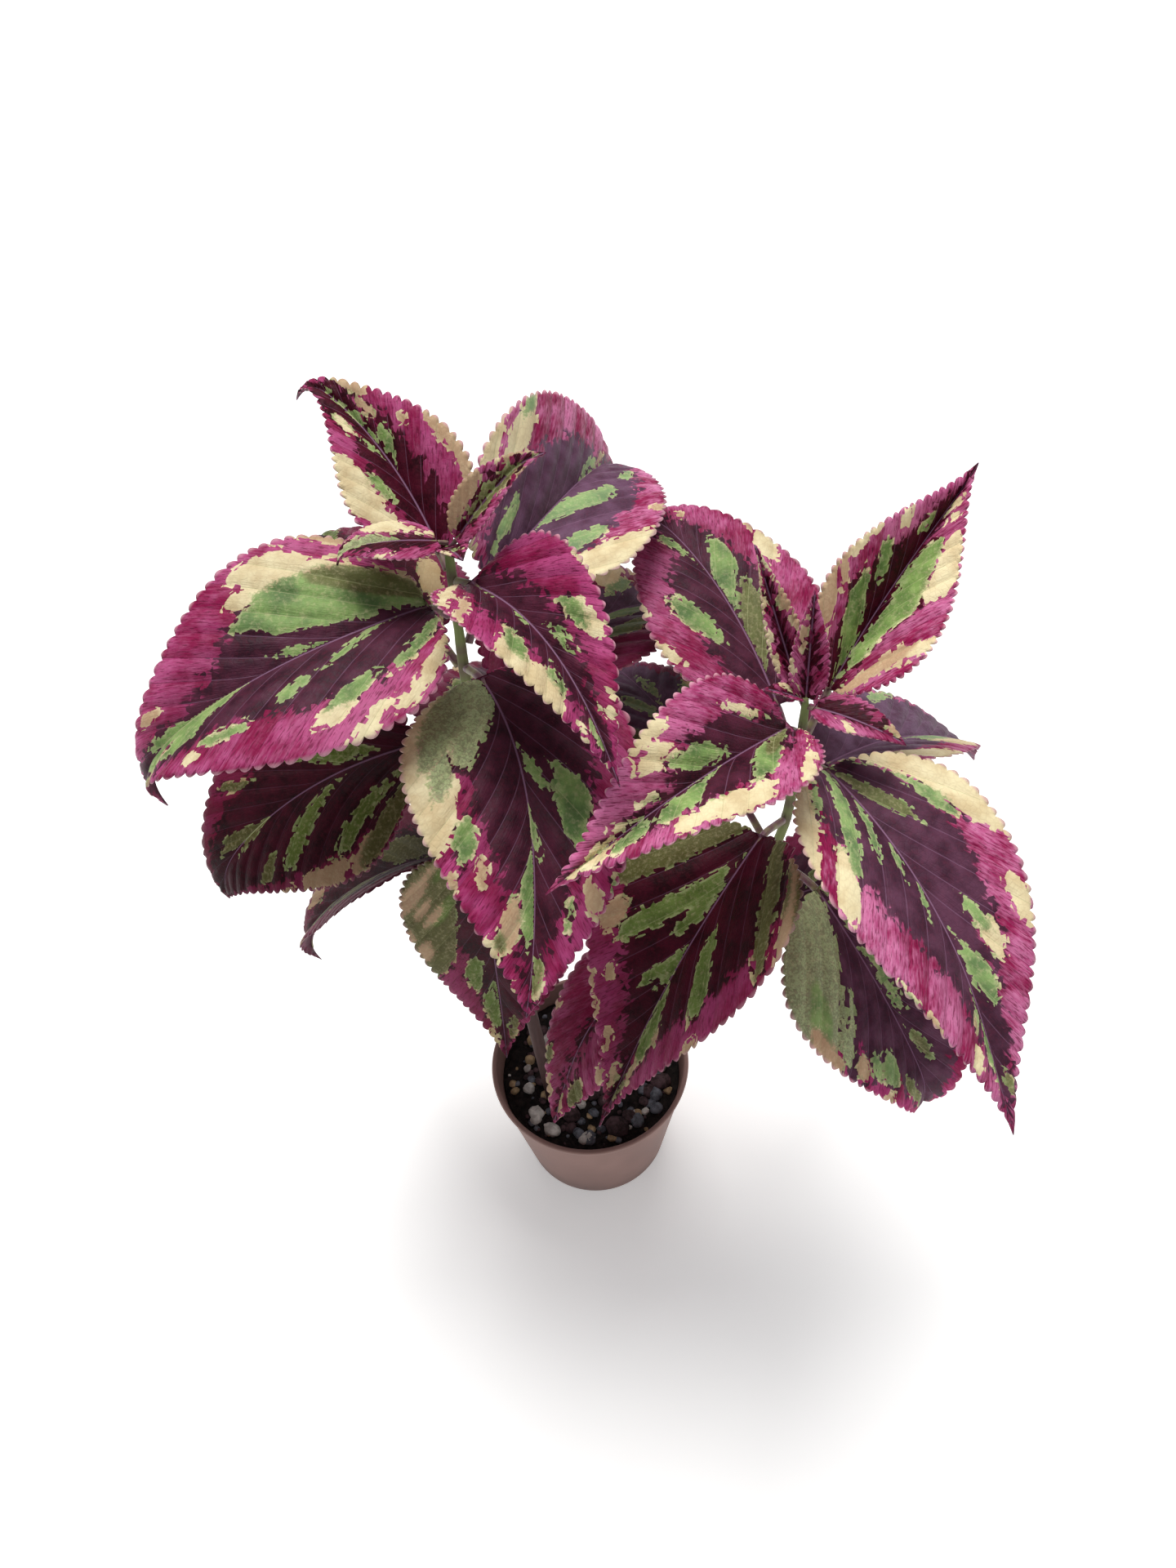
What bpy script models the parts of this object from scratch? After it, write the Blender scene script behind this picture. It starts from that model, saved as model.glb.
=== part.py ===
"""Potted coleus: a small plastic nursery pot, its soil, two stems and their patterned leaves.

The origin is the middle of the pot's base. +Z is up and the front of the plant faces -Y.
Every leaf is one closed solid, blade and stalk together, set beside the stem that it grows from.
"""
import bisect
import math
import random
from collections import namedtuple

import bmesh
import bpy
from mathutils import Vector, noise
from mathutils.geometry import delaunay_2d_cdt

MM = 0.001
NAME = "potted_coleus"

# Clearance between two pieces that touch in the real plant
GAP = 0.3 * MM

# Pot: a three inch nursery pot with a small rolled rim
POT_TOP_RADIUS = 37.5 * MM
POT_BASE_RADIUS = 28.0 * MM
POT_HEIGHT = 56.5 * MM
POT_WALL = 1.2 * MM
POT_FLOOR = 1.6 * MM
RIM_DEPTH = 2.0 * MM
RIM_PROUD = 0.7 * MM
RIM_UNDERCUT = 0.5 * MM
POT_STEPS = 40
DRAIN_HOLES = 4
DRAIN_RADIUS = 3.0 * MM
DRAIN_CIRCLE = 19.0 * MM

# Soil and the perlite, pumice and pebbles that lie in its surface
SOIL_TOP = 47.0 * MM
SOIL_CROWN = 1.5 * MM
SOIL_RINGS = 5
SOIL_STEPS = 32
SOIL_ROUGHNESS = 1.6 * MM
GRAIN_COUNT = 34
GRAIN_RADIUS = (1.5 * MM, 3.4 * MM)
GRAIN_SEED = 11
STEM_HOLE_DEPTH = 14.0 * MM

# Stems: the points in mm that each stem passes through, then its radius at the soil and at the tip
Stem = namedtuple("Stem", "path base_radius tip_radius")
STEMS = {
    "left": Stem(
        [(-14.5, -12, 33), (-14.8, -10, 46), (-18, -6, 90), (-21.5, 2, 150),
         (-23, 9, 210), (-23.2, 13, 248), (-22.2, 16, 288)], 2.9 * MM, 1.2 * MM),
    "right": Stem(
        [(5, 6, 33), (7, 5, 46), (20, 2, 80), (40, -5, 130), (54, -10, 170),
         (61, -11, 200), (63.5, -9, 220), (64.7, -6.4, 248)], 2.5 * MM, 1.1 * MM),
}
STEM_STEP = 7.0 * MM
STEM_FLAT = 30.0
NODE_SWELLING = 1.18

# Leaf: lengths in mm and angles in degrees.
# height and heading say where the leaf leaves the stem and which way it points (0 is +X).
# stalk and stalk_rise are the stalk's length and climb. taper makes the tip longer and thinner.
# pitch_base, pitch_end and tip_curl are the climb of the midrib at its base, its end and its tip.
# turn bends the midrib to its left, roll tips the blade about the midrib, fold lifts both halves
# like a book, and arch curls the margins down.
Leaf = namedtuple(
    "Leaf", "name stem height heading stalk stalk_rise length width taper"
    " pitch_base pitch_end tip_curl turn roll fold arch")
LEAVES = [
    Leaf("leaf_left_1_back", "left", 279, 113, 4, 33, 69, 38, 1.7, 34, 13, -64, 30, -12, 28, -2),
    Leaf("leaf_left_1_front", "left", 278, -54, 8, 25, 72, 40, 1.4, 18, -44, 4, -18, 7, 26, -14),
    Leaf("leaf_left_2_side", "left", 268, 216, 7, 52, 98, 65, 1.35, 11, -58, -44, -33, -14, 21, 27),
    Leaf("leaf_left_2_back", "left", 256, 52, 17, 52, 97, 59, 1.1, 8, -43, -19, 26, 36, 29, -3),
    Leaf("leaf_left_3_front", "left", 251, -65, 11, 26, 92, 58, 1.1, 2, -60, 16, -43, 0, 14, 10),
    Leaf("leaf_left_3_back", "left", 249, 126, 11, 28, 87, 50, 1.2, 7, -32, -34, -4, 6, 5, 24),
    Leaf("leaf_left_4_side", "left", 220, 184, 15, 24, 84, 62, 1.1, -11, -56, -34, 22, -22, 10, 22),
    Leaf("leaf_left_4_back", "left", 223, 50, 14, 36, 93, 57, 1.1, 8, -50, -15, -14, 2, 18, 8),
    Leaf("leaf_left_5_front", "left", 195, -98, 12, 16, 89, 57, 1.3, -80, -80, 16, 6, 4, 2, 12),
    Leaf("leaf_left_5_back", "left", 195, 86, 13, 20, 84, 54, 1.1, 0, -45, -20, 0, 0, 10, 15),
    Leaf("leaf_left_6_side", "left", 165, 154, 19, 16, 91, 54, 1.4, -32, -62, -44, 42, 8, 24, 18),
    Leaf("leaf_left_7_back", "left", 141, 110, 14, 12, 74, 46, 1.1, -10, -50, -20, 0, 0, 10, 15),
    Leaf("leaf_right_1_back", "right", 233, 50, 13, 40, 71, 44, 1.2, 31, 41, 10, -18, 25, 42, 0),
    Leaf("leaf_right_1_side", "right", 238, 226, 8, 50, 85, 42, 1.3, 22, -14, 8, -10, -16, 34, 12),
    Leaf("leaf_right_2_back", "right", 225, 106, 14, 46, 87, 52, 1.1, 28, -10, -40, 16, 0, 12, 18),
    Leaf("leaf_right_2_front", "right", 225, -58, 10, 48, 104, 62, 1.4, -6, -62, 20, -19, -12, 11, 2),
    Leaf("leaf_right_3_side", "right", 212, 37, 11, 28, 86, 45, 1.3, -12, -57, 0, -13, -7, 19, 6),
    Leaf("leaf_right_3_front", "right", 206, -134, 10, 20, 96, 72, 1.6, -22, -67, 17, 0, 14, 20, -5),
    Leaf("leaf_right_4_front", "right", 190, -53, 14, 5, 83, 61, 1.2, -34, -58, -64, -4, 9, 23, 18),
    Leaf("leaf_right_4_back", "right", 191, 116, 13, 26, 88, 54, 1.1, 3, -20, -5, -4, 0, 8, 12),
    Leaf("leaf_right_5_front", "right", 150, -158, 13, 16, 78, 42, 1.1, -12, -78, 20, 38, 10, -2, 10),
    Leaf("leaf_right_5_back", "right", 151, 20, 12, 10, 76, 46, 1.1, 0, -45, -20, 0, 0, 10, 15),
]
# The youngest leaves are still joined to the tip of their stem
YOUNG_LEAVES = [
    Leaf("young_left_side", "left", 288, 196, 2, 30, 28, 19, 1.1, 20, -12, -62, -8, 5, 9, 16),
    Leaf("young_left_up", "left", 286, 4, 3, 48, 33, 14.5, 1.1, 54, 36, -30, 0, 30, 26, 0),
    Leaf("young_left_front", "left", 286, -72, 1, 35, 15, 9, 1.1, 30, 20, 0, 0, 0, 20, 0),
    Leaf("young_right_back", "right", 244, 114, 2, 45, 43, 12, 1.1, 52, 66, 0, 12, -14, 30, 0),
    Leaf("young_right_up", "right", 245, 80, 1, 65, 30, 12, 1.1, 64, 74, 0, 0, 0, 28, 0),
    Leaf("young_right_side", "right", 245, -36, 2, 27, 26, 14, 1.1, 10, -17, 0, 0, 0, 15, 10),
    Leaf("young_right_front", "right", 247, 188, 1, 45, 13, 7, 1.1, 34, 24, 0, 0, 0, 20, 0),
]
BLADE_THICKNESS = 0.8 * MM
BASE_SWELL = 0.58
STALK_RADIUS = 1.1 * MM
MIDRIB_DEPTH = 0.8 * MM
TOOTH_WIDTH = 7.2 * MM
TOOTH_DEPTH = 1.3 * MM
YOUNG_TOOTH_WIDTH = 5.0 * MM
YOUNG_TOOTH_DEPTH = 0.7 * MM
BLADE_ROWS = (0.05, 0.17, 0.3, 0.43, 0.56, 0.68, 0.8, 0.91)
BLADE_COLUMN = 0.55
MIDRIB_STEPS = 72
OUTLINE_STEPS = 240

# Colours as linear RGB, then roughness
MATERIALS = {
    "pot": ((0.32, 0.19, 0.165), 0.62),
    "soil": ((0.028, 0.023, 0.021), 0.95),
    "stem": ((0.17, 0.15, 0.08), 0.55),
    "leaf_purple": ((0.085, 0.022, 0.05), 0.5),
    "leaf_magenta": ((0.27, 0.03, 0.11), 0.5),
}


def clear_scene():
    for obj in list(bpy.data.objects):
        bpy.data.objects.remove(obj, do_unlink=True)


def new_collection(name):
    collection = bpy.data.collections.new(name)
    bpy.context.scene.collection.children.link(collection)
    return collection


def make_material(name):
    colour, roughness = MATERIALS[name]
    material = bpy.data.materials.new(name)
    material.use_nodes = True
    shader = material.node_tree.nodes["Principled BSDF"]
    shader.inputs["Base Color"].default_value = (*colour, 1.0)
    shader.inputs["Roughness"].default_value = roughness
    shader.inputs["Metallic"].default_value = 0.0
    material.diffuse_color = (*colour, 1.0)
    return material


def add_object(name, mesh, collection, material=None, smooth_angle=None):
    """Link a mesh as a named object, with its material and smooth shading."""
    obj = bpy.data.objects.new(name, mesh)
    collection.objects.link(obj)
    if material is not None:
        mesh.materials.clear()
        mesh.materials.append(material)
    if smooth_angle is not None:
        mesh.shade_smooth()
        mesh.set_sharp_from_angle(angle=math.radians(smooth_angle))
    return obj


def as_guide(obj):
    obj.hide_render = True
    obj.display_type = "WIRE"


def turned_mesh(name, profile, steps, collection):
    """Turn a profile of (radius, height) points about Z and return the closed mesh."""
    mesh = bpy.data.meshes.new(name)
    points = [(radius, 0.0, height) for radius, height in profile]
    edges = [(i, i + 1) for i in range(len(points) - 1)]
    mesh.from_pydata(points, edges, [])
    obj = add_object(name + "_profile", mesh, collection)
    screw = obj.modifiers.new("turn", "SCREW")
    screw.axis = "Z"
    screw.steps = steps
    screw.render_steps = steps
    screw.use_merge_vertices = True
    screw.merge_threshold = 0.00002
    return mesh_from(obj, name)


def mesh_from(obj, name):
    """Return the evaluated mesh of an object, welded, and remove the object."""
    depsgraph = bpy.context.evaluated_depsgraph_get()
    mesh = bpy.data.meshes.new_from_object(obj.evaluated_get(depsgraph))
    mesh.name = name
    mesh.transform(obj.matrix_world)
    bpy.data.objects.remove(obj, do_unlink=True)
    bm = bmesh.new()
    bm.from_mesh(mesh)
    bmesh.ops.remove_doubles(bm, verts=bm.verts, dist=0.00002)
    bmesh.ops.recalc_face_normals(bm, faces=bm.faces)
    bm.to_mesh(mesh)
    bm.free()
    return mesh


def combine(obj, others, operation, collection, solver="EXACT"):
    """Join or cut an object with a list of others, apply the result and remove the others."""
    tools = bpy.data.collections.new("tools_" + obj.name)
    collection.children.link(tools)
    for other in others:
        tools.objects.link(other)
    boolean = obj.modifiers.new(operation.lower(), "BOOLEAN")
    boolean.operand_type = "COLLECTION"
    boolean.collection = tools
    boolean.operation = operation
    boolean.solver = solver
    depsgraph = bpy.context.evaluated_depsgraph_get()
    mesh = bpy.data.meshes.new_from_object(obj.evaluated_get(depsgraph))
    obj.modifiers.clear()
    obj.data = mesh
    for other in others:
        bpy.data.objects.remove(other, do_unlink=True)
    bpy.data.collections.remove(tools)


# Pot

def pot_outer_radius(height):
    share = height / POT_HEIGHT
    return POT_BASE_RADIUS + (POT_TOP_RADIUS - RIM_PROUD - POT_BASE_RADIUS) * share


def pot_inner_radius(height):
    return pot_outer_radius(height) - POT_WALL


def rim_profile():
    """The rolled rim, from the inner edge of its top, over the roll, to the wall below it."""
    middle = POT_TOP_RADIUS - (POT_WALL + RIM_PROUD) / 2
    roll = (POT_WALL + RIM_PROUD) / 2
    points = []
    for turn in (180, 135, 90, 45, 0):
        angle = math.radians(turn)
        points.append((middle + roll * math.cos(angle), POT_HEIGHT - roll + roll * math.sin(angle)))
    bottom = POT_HEIGHT - RIM_DEPTH
    points.append((POT_TOP_RADIUS, bottom))
    points.append((pot_outer_radius(bottom), bottom - RIM_UNDERCUT))
    return points


def build_pot(collection, tools, material):
    bead = 1.2 * MM
    profile = [(0.0, POT_FLOOR), (pot_inner_radius(POT_FLOOR), POT_FLOOR)]
    profile += rim_profile()
    profile += [(pot_outer_radius(bead), bead), (POT_BASE_RADIUS - bead, 0.0), (0.0, 0.0)]
    pot = add_object("pot", turned_mesh("pot", profile, POT_STEPS, tools), collection, material, 32)
    holes = []
    for index in range(DRAIN_HOLES):
        angle = 2 * math.pi * (index + 0.5) / DRAIN_HOLES
        mesh = bpy.data.meshes.new("drain")
        bm = bmesh.new()
        bmesh.ops.create_cone(bm, cap_ends=True, segments=12, radius1=DRAIN_RADIUS,
                              radius2=DRAIN_RADIUS, depth=4 * POT_FLOOR)
        bm.to_mesh(mesh)
        bm.free()
        hole = bpy.data.objects.new("drain_hole", mesh)
        hole.location = (DRAIN_CIRCLE * math.cos(angle), DRAIN_CIRCLE * math.sin(angle), 0.0)
        as_guide(hole)
        holes.append(hole)
    combine(pot, holes, "DIFFERENCE", tools)
    return pot


# Soil

def stem_foot(stem):
    """The centre of the stem where it enters the soil."""
    return stem_centre(stem, SOIL_TOP)


def soil_height(x, y):
    """Height of the soil's crumbly surface."""
    radius = math.hypot(x, y) / pot_inner_radius(SOIL_TOP)
    rough = noise.noise(Vector((x, y, 0.0)) * 160.0)
    return SOIL_TOP + SOIL_CROWN * (1 - radius * radius) + SOIL_ROUGHNESS * rough * (1 - radius ** 6)


def soil_body():
    """A plug that fills the pot, with its top raised by the soil's height."""
    bottom = POT_FLOOR + GAP
    bm = bmesh.new()
    rings = []
    low = []
    for step in range(SOIL_STEPS):
        angle = 2 * math.pi * step / SOIL_STEPS
        radius = pot_inner_radius(bottom) - GAP
        low.append(bm.verts.new((radius * math.cos(angle), radius * math.sin(angle), bottom)))
    for ring in range(SOIL_RINGS, 0, -1):
        row = []
        for step in range(SOIL_STEPS):
            angle = 2 * math.pi * step / SOIL_STEPS
            radius = (pot_inner_radius(SOIL_TOP) - 1.5 * GAP) * ring / SOIL_RINGS
            x = radius * math.cos(angle)
            y = radius * math.sin(angle)
            row.append(bm.verts.new((x, y, soil_height(x, y))))
        rings.append(row)
    top = bm.verts.new((0.0, 0.0, soil_height(0.0, 0.0)))
    bm.faces.new(list(reversed(low)))
    for lower, upper in zip([low] + rings[:-1], rings):
        for step in range(SOIL_STEPS):
            following = (step + 1) % SOIL_STEPS
            bm.faces.new((lower[step], lower[following], upper[following], upper[step]))
    for step in range(SOIL_STEPS):
        bm.faces.new((rings[-1][step], rings[-1][(step + 1) % SOIL_STEPS], top))
    bmesh.ops.triangulate(bm, faces=bm.faces)
    mesh = bpy.data.meshes.new("soil")
    bm.to_mesh(mesh)
    bm.free()
    return mesh


def soil_grain(draw, x, y, radius):
    """One perlite or pebble grain: a squashed, uneven ball sunk halfway into the soil."""
    mesh = bpy.data.meshes.new("grain")
    bm = bmesh.new()
    bmesh.ops.create_icosphere(bm, subdivisions=1, radius=radius)
    for vert in bm.verts:
        vert.co *= draw.uniform(0.82, 1.12)
        vert.co.z *= 0.8
    bm.to_mesh(mesh)
    bm.free()
    grain = bpy.data.objects.new("grain", mesh)
    grain.location = (x, y, soil_height(x, y) + 0.12 * radius)
    grain.rotation_euler = (0.0, 0.0, draw.uniform(0.0, math.pi))
    return grain


def soil_grains():
    draw = random.Random(GRAIN_SEED)
    feet = [stem_foot(stem) for stem in STEMS.values()]
    reach = pot_inner_radius(SOIL_TOP) - 1.5 * MM
    grains = []
    placed = []
    while len(grains) < GRAIN_COUNT:
        radius = draw.uniform(*GRAIN_RADIUS)
        distance = (reach - radius * 1.2) * math.sqrt(draw.random())
        angle = draw.uniform(0.0, 2 * math.pi)
        spot = Vector((distance * math.cos(angle), distance * math.sin(angle)))
        near_stem = any((spot - foot.to_2d()).length < radius * 1.2 + 5 * MM for foot in feet)
        near_grain = any((spot - other).length < 0.9 * (radius + size) for other, size in placed)
        if near_stem or near_grain:
            continue
        placed.append((spot, radius))
        grains.append(soil_grain(draw, spot.x, spot.y, radius))
    return grains


def stem_hole(stem):
    """A plain round hole that the foot of a stem stands in, along the stem's lean."""
    foot = stem_foot(stem)
    deep = stem_centre(stem, SOIL_TOP - STEM_HOLE_DEPTH)
    axis = (foot - deep).normalized()
    start = deep - axis * GAP
    length = 3 * STEM_HOLE_DEPTH
    mesh = bpy.data.meshes.new("hole")
    bm = bmesh.new()
    radius = stem.base_radius * 1.12 + GAP
    bmesh.ops.create_cone(bm, cap_ends=True, segments=12, radius1=radius, radius2=radius, depth=length)
    bm.to_mesh(mesh)
    bm.free()
    hole = bpy.data.objects.new("stem_hole", mesh)
    hole.rotation_mode = "QUATERNION"
    hole.rotation_quaternion = axis.to_track_quat("Z", "Y")
    hole.location = start + axis * length / 2
    as_guide(hole)
    return hole


def build_soil(collection, tools, material):
    soil = add_object("soil", soil_body(), collection, material, 40)
    combine(soil, soil_grains(), "UNION", tools, "MANIFOLD")
    combine(soil, [stem_hole(stem) for stem in STEMS.values()], "DIFFERENCE", tools, "MANIFOLD")
    return soil


# Stems

def stem_centre(stem, height):
    """A smooth curve through the points of the stem's path, read at a height."""
    path = [Vector(point) * MM for point in stem.path]
    heights = [point.z for point in path]
    index = min(max(bisect.bisect_right(heights, height) - 1, 0), len(path) - 2)

    def slope(i):
        before = path[max(i - 1, 0)]
        after = path[min(i + 1, len(path) - 1)]
        return (after - before) / (after.z - before.z)

    low = path[index]
    high = path[index + 1]
    span = high.z - low.z
    t = (height - low.z) / span
    return (low * (2 * t ** 3 - 3 * t ** 2 + 1) + slope(index) * span * (t ** 3 - 2 * t ** 2 + t)
            + high * (3 * t ** 2 - 2 * t ** 3) + slope(index + 1) * span * (t ** 3 - t ** 2))


def stem_radius(name, height):
    """The stem thins upwards, and swells a little where leaves leave it."""
    stem = STEMS[name]
    top = stem.path[-1][2] * MM
    share = min(max((height - SOIL_TOP) / (top - SOIL_TOP), 0.0), 1.0)
    radius = stem.base_radius + (stem.tip_radius - stem.base_radius) * share ** 0.8
    nodes = [leaf.height * MM for leaf in LEAVES if leaf.stem == name]
    nearest = min(abs(height - node) for node in nodes)
    return radius * (1 + (NODE_SWELLING - 1) * math.exp(-(nearest / (4 * MM)) ** 2))


def square_section(tools):
    """The cross-section of a stem: a square with its corners cut off, STEM_FLAT degrees a half side."""
    curve = bpy.data.curves.new("stem_section", "CURVE")
    curve.dimensions = "2D"
    spline = curve.splines.new("POLY")
    corners = []
    for quarter in range(4):
        for side in (-1, 1):
            angle = math.radians(90 * quarter + side * STEM_FLAT)
            corners.append((math.cos(angle), math.sin(angle)))
    spline.points.add(len(corners) - 1)
    for point, (x, y) in zip(spline.points, corners):
        point.co = (x, y, 0.0, 1.0)
    spline.use_cyclic_u = True
    section = bpy.data.objects.new("stem_section", curve)
    tools.objects.link(section)
    as_guide(section)
    return section


def stem_stations(name):
    """Heights of the stem's rings: one at every leaf, and more between them."""
    bottom = SOIL_TOP - STEM_HOLE_DEPTH + GAP
    top = STEMS[name].path[-1][2] * MM
    leaves = {leaf.height * MM for leaf in LEAVES if leaf.stem == name}
    marks = sorted(leaves | {bottom, top})
    stations = []
    for low, high in zip(marks, marks[1:]):
        steps = max(round((high - low) / STEM_STEP), 1)
        stations += [low + (high - low) * step / steps for step in range(steps)]
    return stations + [top]


def stem_mesh(name, section, tools):
    stem = STEMS[name]
    stations = stem_stations(name)
    curve = bpy.data.curves.new("stem_line", "CURVE")
    curve.dimensions = "3D"
    curve.bevel_mode = "OBJECT"
    curve.bevel_object = section
    curve.use_fill_caps = True
    spline = curve.splines.new("POLY")
    spline.points.add(len(stations) - 1)
    for height, point in zip(stations, spline.points):
        point.co = (*stem_centre(stem, height), 1.0)
        point.radius = stem_radius(name, height)
    line = bpy.data.objects.new("stem_line", curve)
    tools.objects.link(line)
    return mesh_from(line, "stem_" + name)


def build_stem(name, section, collection, tools, material, young_leaves):
    mesh = stem_mesh(name, section, tools)
    stem = add_object("stem_" + name, mesh, collection, material, 40)
    young = []
    for leaf in young_leaves:
        blade = leaf_mesh(leaf, YOUNG_TOOTH_WIDTH, YOUNG_TOOTH_DEPTH, rooted=True)
        young.append(bpy.data.objects.new(leaf.name, blade))
    combine(stem, young, "UNION", tools, "MANIFOLD")
    return stem


# Leaves

def smooth_step(x):
    x = min(max(x, 0.0), 1.0)
    return x * x * (3 - 2 * x)


def half_width(leaf, share):
    """Half of the blade's width at a share of its length."""
    if not 0.0 < share < 1.0:
        return 0.0
    widest = BASE_SWELL / (BASE_SWELL + leaf.taper)
    swell = (share / widest) ** BASE_SWELL
    return leaf.width * MM / 2 * swell * ((1 - share) / (1 - widest)) ** leaf.taper


class LeafLine:
    """The line of a leaf from the stem to its tip, with the blade's sideways and upward directions."""

    def __init__(self, leaf, rooted):
        self.leaf = leaf
        self.length = leaf.length * MM
        self.stalk = leaf.stalk * MM
        height = leaf.height * MM
        stem = STEMS[leaf.stem]
        root = stem_centre(stem, height)
        if not rooted:
            axis = (stem_centre(stem, height + MM) - stem_centre(stem, height - MM)).normalized()
            stalk = self.direction(-1.0)
            tilt = stalk.dot(axis)
            outward = (stalk - axis * tilt).normalized()
            root += outward * (stem_radius(leaf.stem, height) + GAP + STALK_RADIUS * abs(tilt))
        self.step = (self.length + self.stalk) / MIDRIB_STEPS
        self.points = [root]
        for index in range(MIDRIB_STEPS):
            along = -self.stalk + (index + 0.5) * self.step
            self.points.append(self.points[-1] + self.bent_direction(along) * self.step)

    def angles(self, along):
        """Heading and pitch, in degrees, at a distance along the midrib; the stalk is below zero."""
        leaf = self.leaf
        if along < 0.0:
            return leaf.heading, leaf.stalk_rise
        share = along / self.length
        pitch = leaf.pitch_base + (leaf.pitch_end - leaf.pitch_base) * share ** 1.3
        pitch += leaf.tip_curl * smooth_step((share - 0.72) / 0.28)
        return leaf.heading + leaf.turn * share, pitch

    def direction(self, along):
        heading, pitch = (math.radians(angle) for angle in self.angles(along))
        return Vector((math.cos(heading) * math.cos(pitch), math.sin(heading) * math.cos(pitch),
                       math.sin(pitch)))

    def bent_direction(self, along):
        """The direction with the kink between stalk and blade rounded off."""
        reach = min(3 * MM, self.stalk)
        ahead = self.direction(min(along + reach, self.length))
        behind = self.direction(along - reach)
        return (ahead + behind + self.direction(along)).normalized()

    def centre(self, along):
        place = (along + self.stalk) / self.step
        index = min(max(int(place), 0), MIDRIB_STEPS - 1)
        return self.points[index].lerp(self.points[index + 1], place - index)

    def surface(self, along, across):
        """The point of the blade's middle surface at a distance along and across the midrib."""
        leaf = self.leaf
        heading = math.radians(self.angles(along)[0])
        left = Vector((-math.sin(heading), math.cos(heading), 0.0))
        up = self.bent_direction(along).cross(left).normalized()
        roll = math.radians(leaf.roll) * smooth_step(1 + along / (8 * MM))
        left, up = (left * math.cos(roll) + up * math.sin(roll),
                    up * math.cos(roll) - left * math.sin(roll))
        fold = math.radians(leaf.fold) if along > 0.0 else 0.0
        arch = math.radians(leaf.arch) or 0.001
        reach = leaf.width * MM / 2
        turn = fold - arch * abs(across) / reach
        out = (math.sin(fold) - math.sin(turn)) / arch * reach
        rise = (math.cos(turn) - math.cos(fold)) / arch * reach
        return self.centre(along) + left * math.copysign(out, across) + up * rise

    def normal(self, along, across):
        small = 0.2 * MM
        ahead = self.surface(along + small, across) - self.surface(along - small, across)
        aside = self.surface(along, across + small) - self.surface(along, across - small)
        return ahead.cross(aside).normalized()


def toothed_margin(leaf, tooth_width, tooth_depth):
    """Points of one margin from base to tip, as (along, across), with round teeth."""
    length = leaf.length * MM
    curve = []
    for step in range(OUTLINE_STEPS + 1):
        share = (step / OUTLINE_STEPS) ** 1.5
        curve.append(Vector((share * length, max(half_width(leaf, share), STALK_RADIUS * 0.4))))
    distances = [0.0]
    for before, after in zip(curve, curve[1:]):
        distances.append(distances[-1] + (after - before).length)
    start = 3 * MM
    end = distances[-1] - 4 * MM
    teeth = max(round((end - start) / tooth_width), 4)

    def at(distance):
        index = min(bisect.bisect_right(distances, distance), len(curve) - 1)
        before = curve[index - 1]
        after = curve[index]
        part = (distance - distances[index - 1]) / (distances[index] - distances[index - 1])
        tangent = (after - before).normalized()
        return before.lerp(after, part), Vector((-tangent.y, tangent.x))

    margin = []
    for tooth in range(teeth):
        for place, depth in ((0.0, 1.0), (0.3, 0.0), (0.74, 0.0)):
            point, outward = at(start + (end - start) * (tooth + place) / teeth)
            fade = min(1.0, point.y / (5 * MM))
            margin.append(point - outward * depth * tooth_depth * fade)
    return margin


def leaf_outline(leaf, tooth_width, tooth_depth):
    """The flat outline of stalk and blade as a closed loop of (along, across) points."""
    stalk = leaf.stalk * MM
    rows = [-stalk * (1 - step / 3) for step in range(3)]
    left = [Vector((along, STALK_RADIUS)) for along in rows]
    left += [Vector((-0.4 * MM, STALK_RADIUS))]
    left += toothed_margin(leaf, tooth_width, tooth_depth)
    right = [Vector((point.x, -point.y)) for point in left]
    tip = Vector((leaf.length * MM, 0.0))
    return right + [tip] + list(reversed(left)), rows


def leaf_mesh(leaf, tooth_width=TOOTH_WIDTH, tooth_depth=TOOTH_DEPTH, rooted=False):
    """A closed leaf: one triangulated outline used for both faces, joined by a rim."""
    outline, rows = leaf_outline(leaf, tooth_width, tooth_depth)
    length = leaf.length * MM
    spine = [Vector((along, 0.0)) for along in rows + [0.0]]
    spine += [Vector((share * length, 0.0)) for share in BLADE_ROWS]
    sides = []
    for share in BLADE_ROWS[1:-1]:
        across = BLADE_COLUMN * half_width(leaf, share)
        sides += [Vector((share * length, across)), Vector((share * length, -across))]
    tip_index = len(outline) // 2
    count = len(outline)
    points = outline + spine + sides
    edges = [(count + i, count + i + 1) for i in range(len(spine) - 1)]
    edges.append((count + len(spine) - 1, tip_index))
    loop = list(range(count))
    flat, _, triangles, _, _, _ = delaunay_2d_cdt(points, edges, [loop], 1, 1e-7)
    line = LeafLine(leaf, rooted)
    bm = bmesh.new()
    upper = []
    lower = []
    for point in flat:
        along, across = point
        middle = line.surface(along, across)
        normal = line.normal(along, across)
        on_spine = abs(across) < 0.01 * MM
        above = BLADE_THICKNESS / 2
        below = BLADE_THICKNESS / 2
        if on_spine and along < length - 0.1 * MM:
            below += MIDRIB_DEPTH * (1 - max(along, 0.0) / length)
            above = STALK_RADIUS if along < 0.0 else above
        upper.append(bm.verts.new(middle + normal * above))
        lower.append(bm.verts.new(middle - normal * below))
    for a, b, c in triangles:
        bm.faces.new((upper[a], upper[b], upper[c]))
        bm.faces.new((lower[c], lower[b], lower[a]))
    rim = [edge for edge in bm.edges if edge.is_boundary]
    top = set(upper)
    other = dict(zip(upper, lower))
    for edge in rim:
        a, b = edge.verts
        if a not in top:
            continue
        loop_start = edge.link_loops[0].vert
        if loop_start is not a:
            a, b = b, a
        bm.faces.new((b, a, other[a]))
        bm.faces.new((b, other[a], other[b]))
    mesh = bpy.data.meshes.new(leaf.name)
    bm.to_mesh(mesh)
    bm.free()
    return mesh


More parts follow.
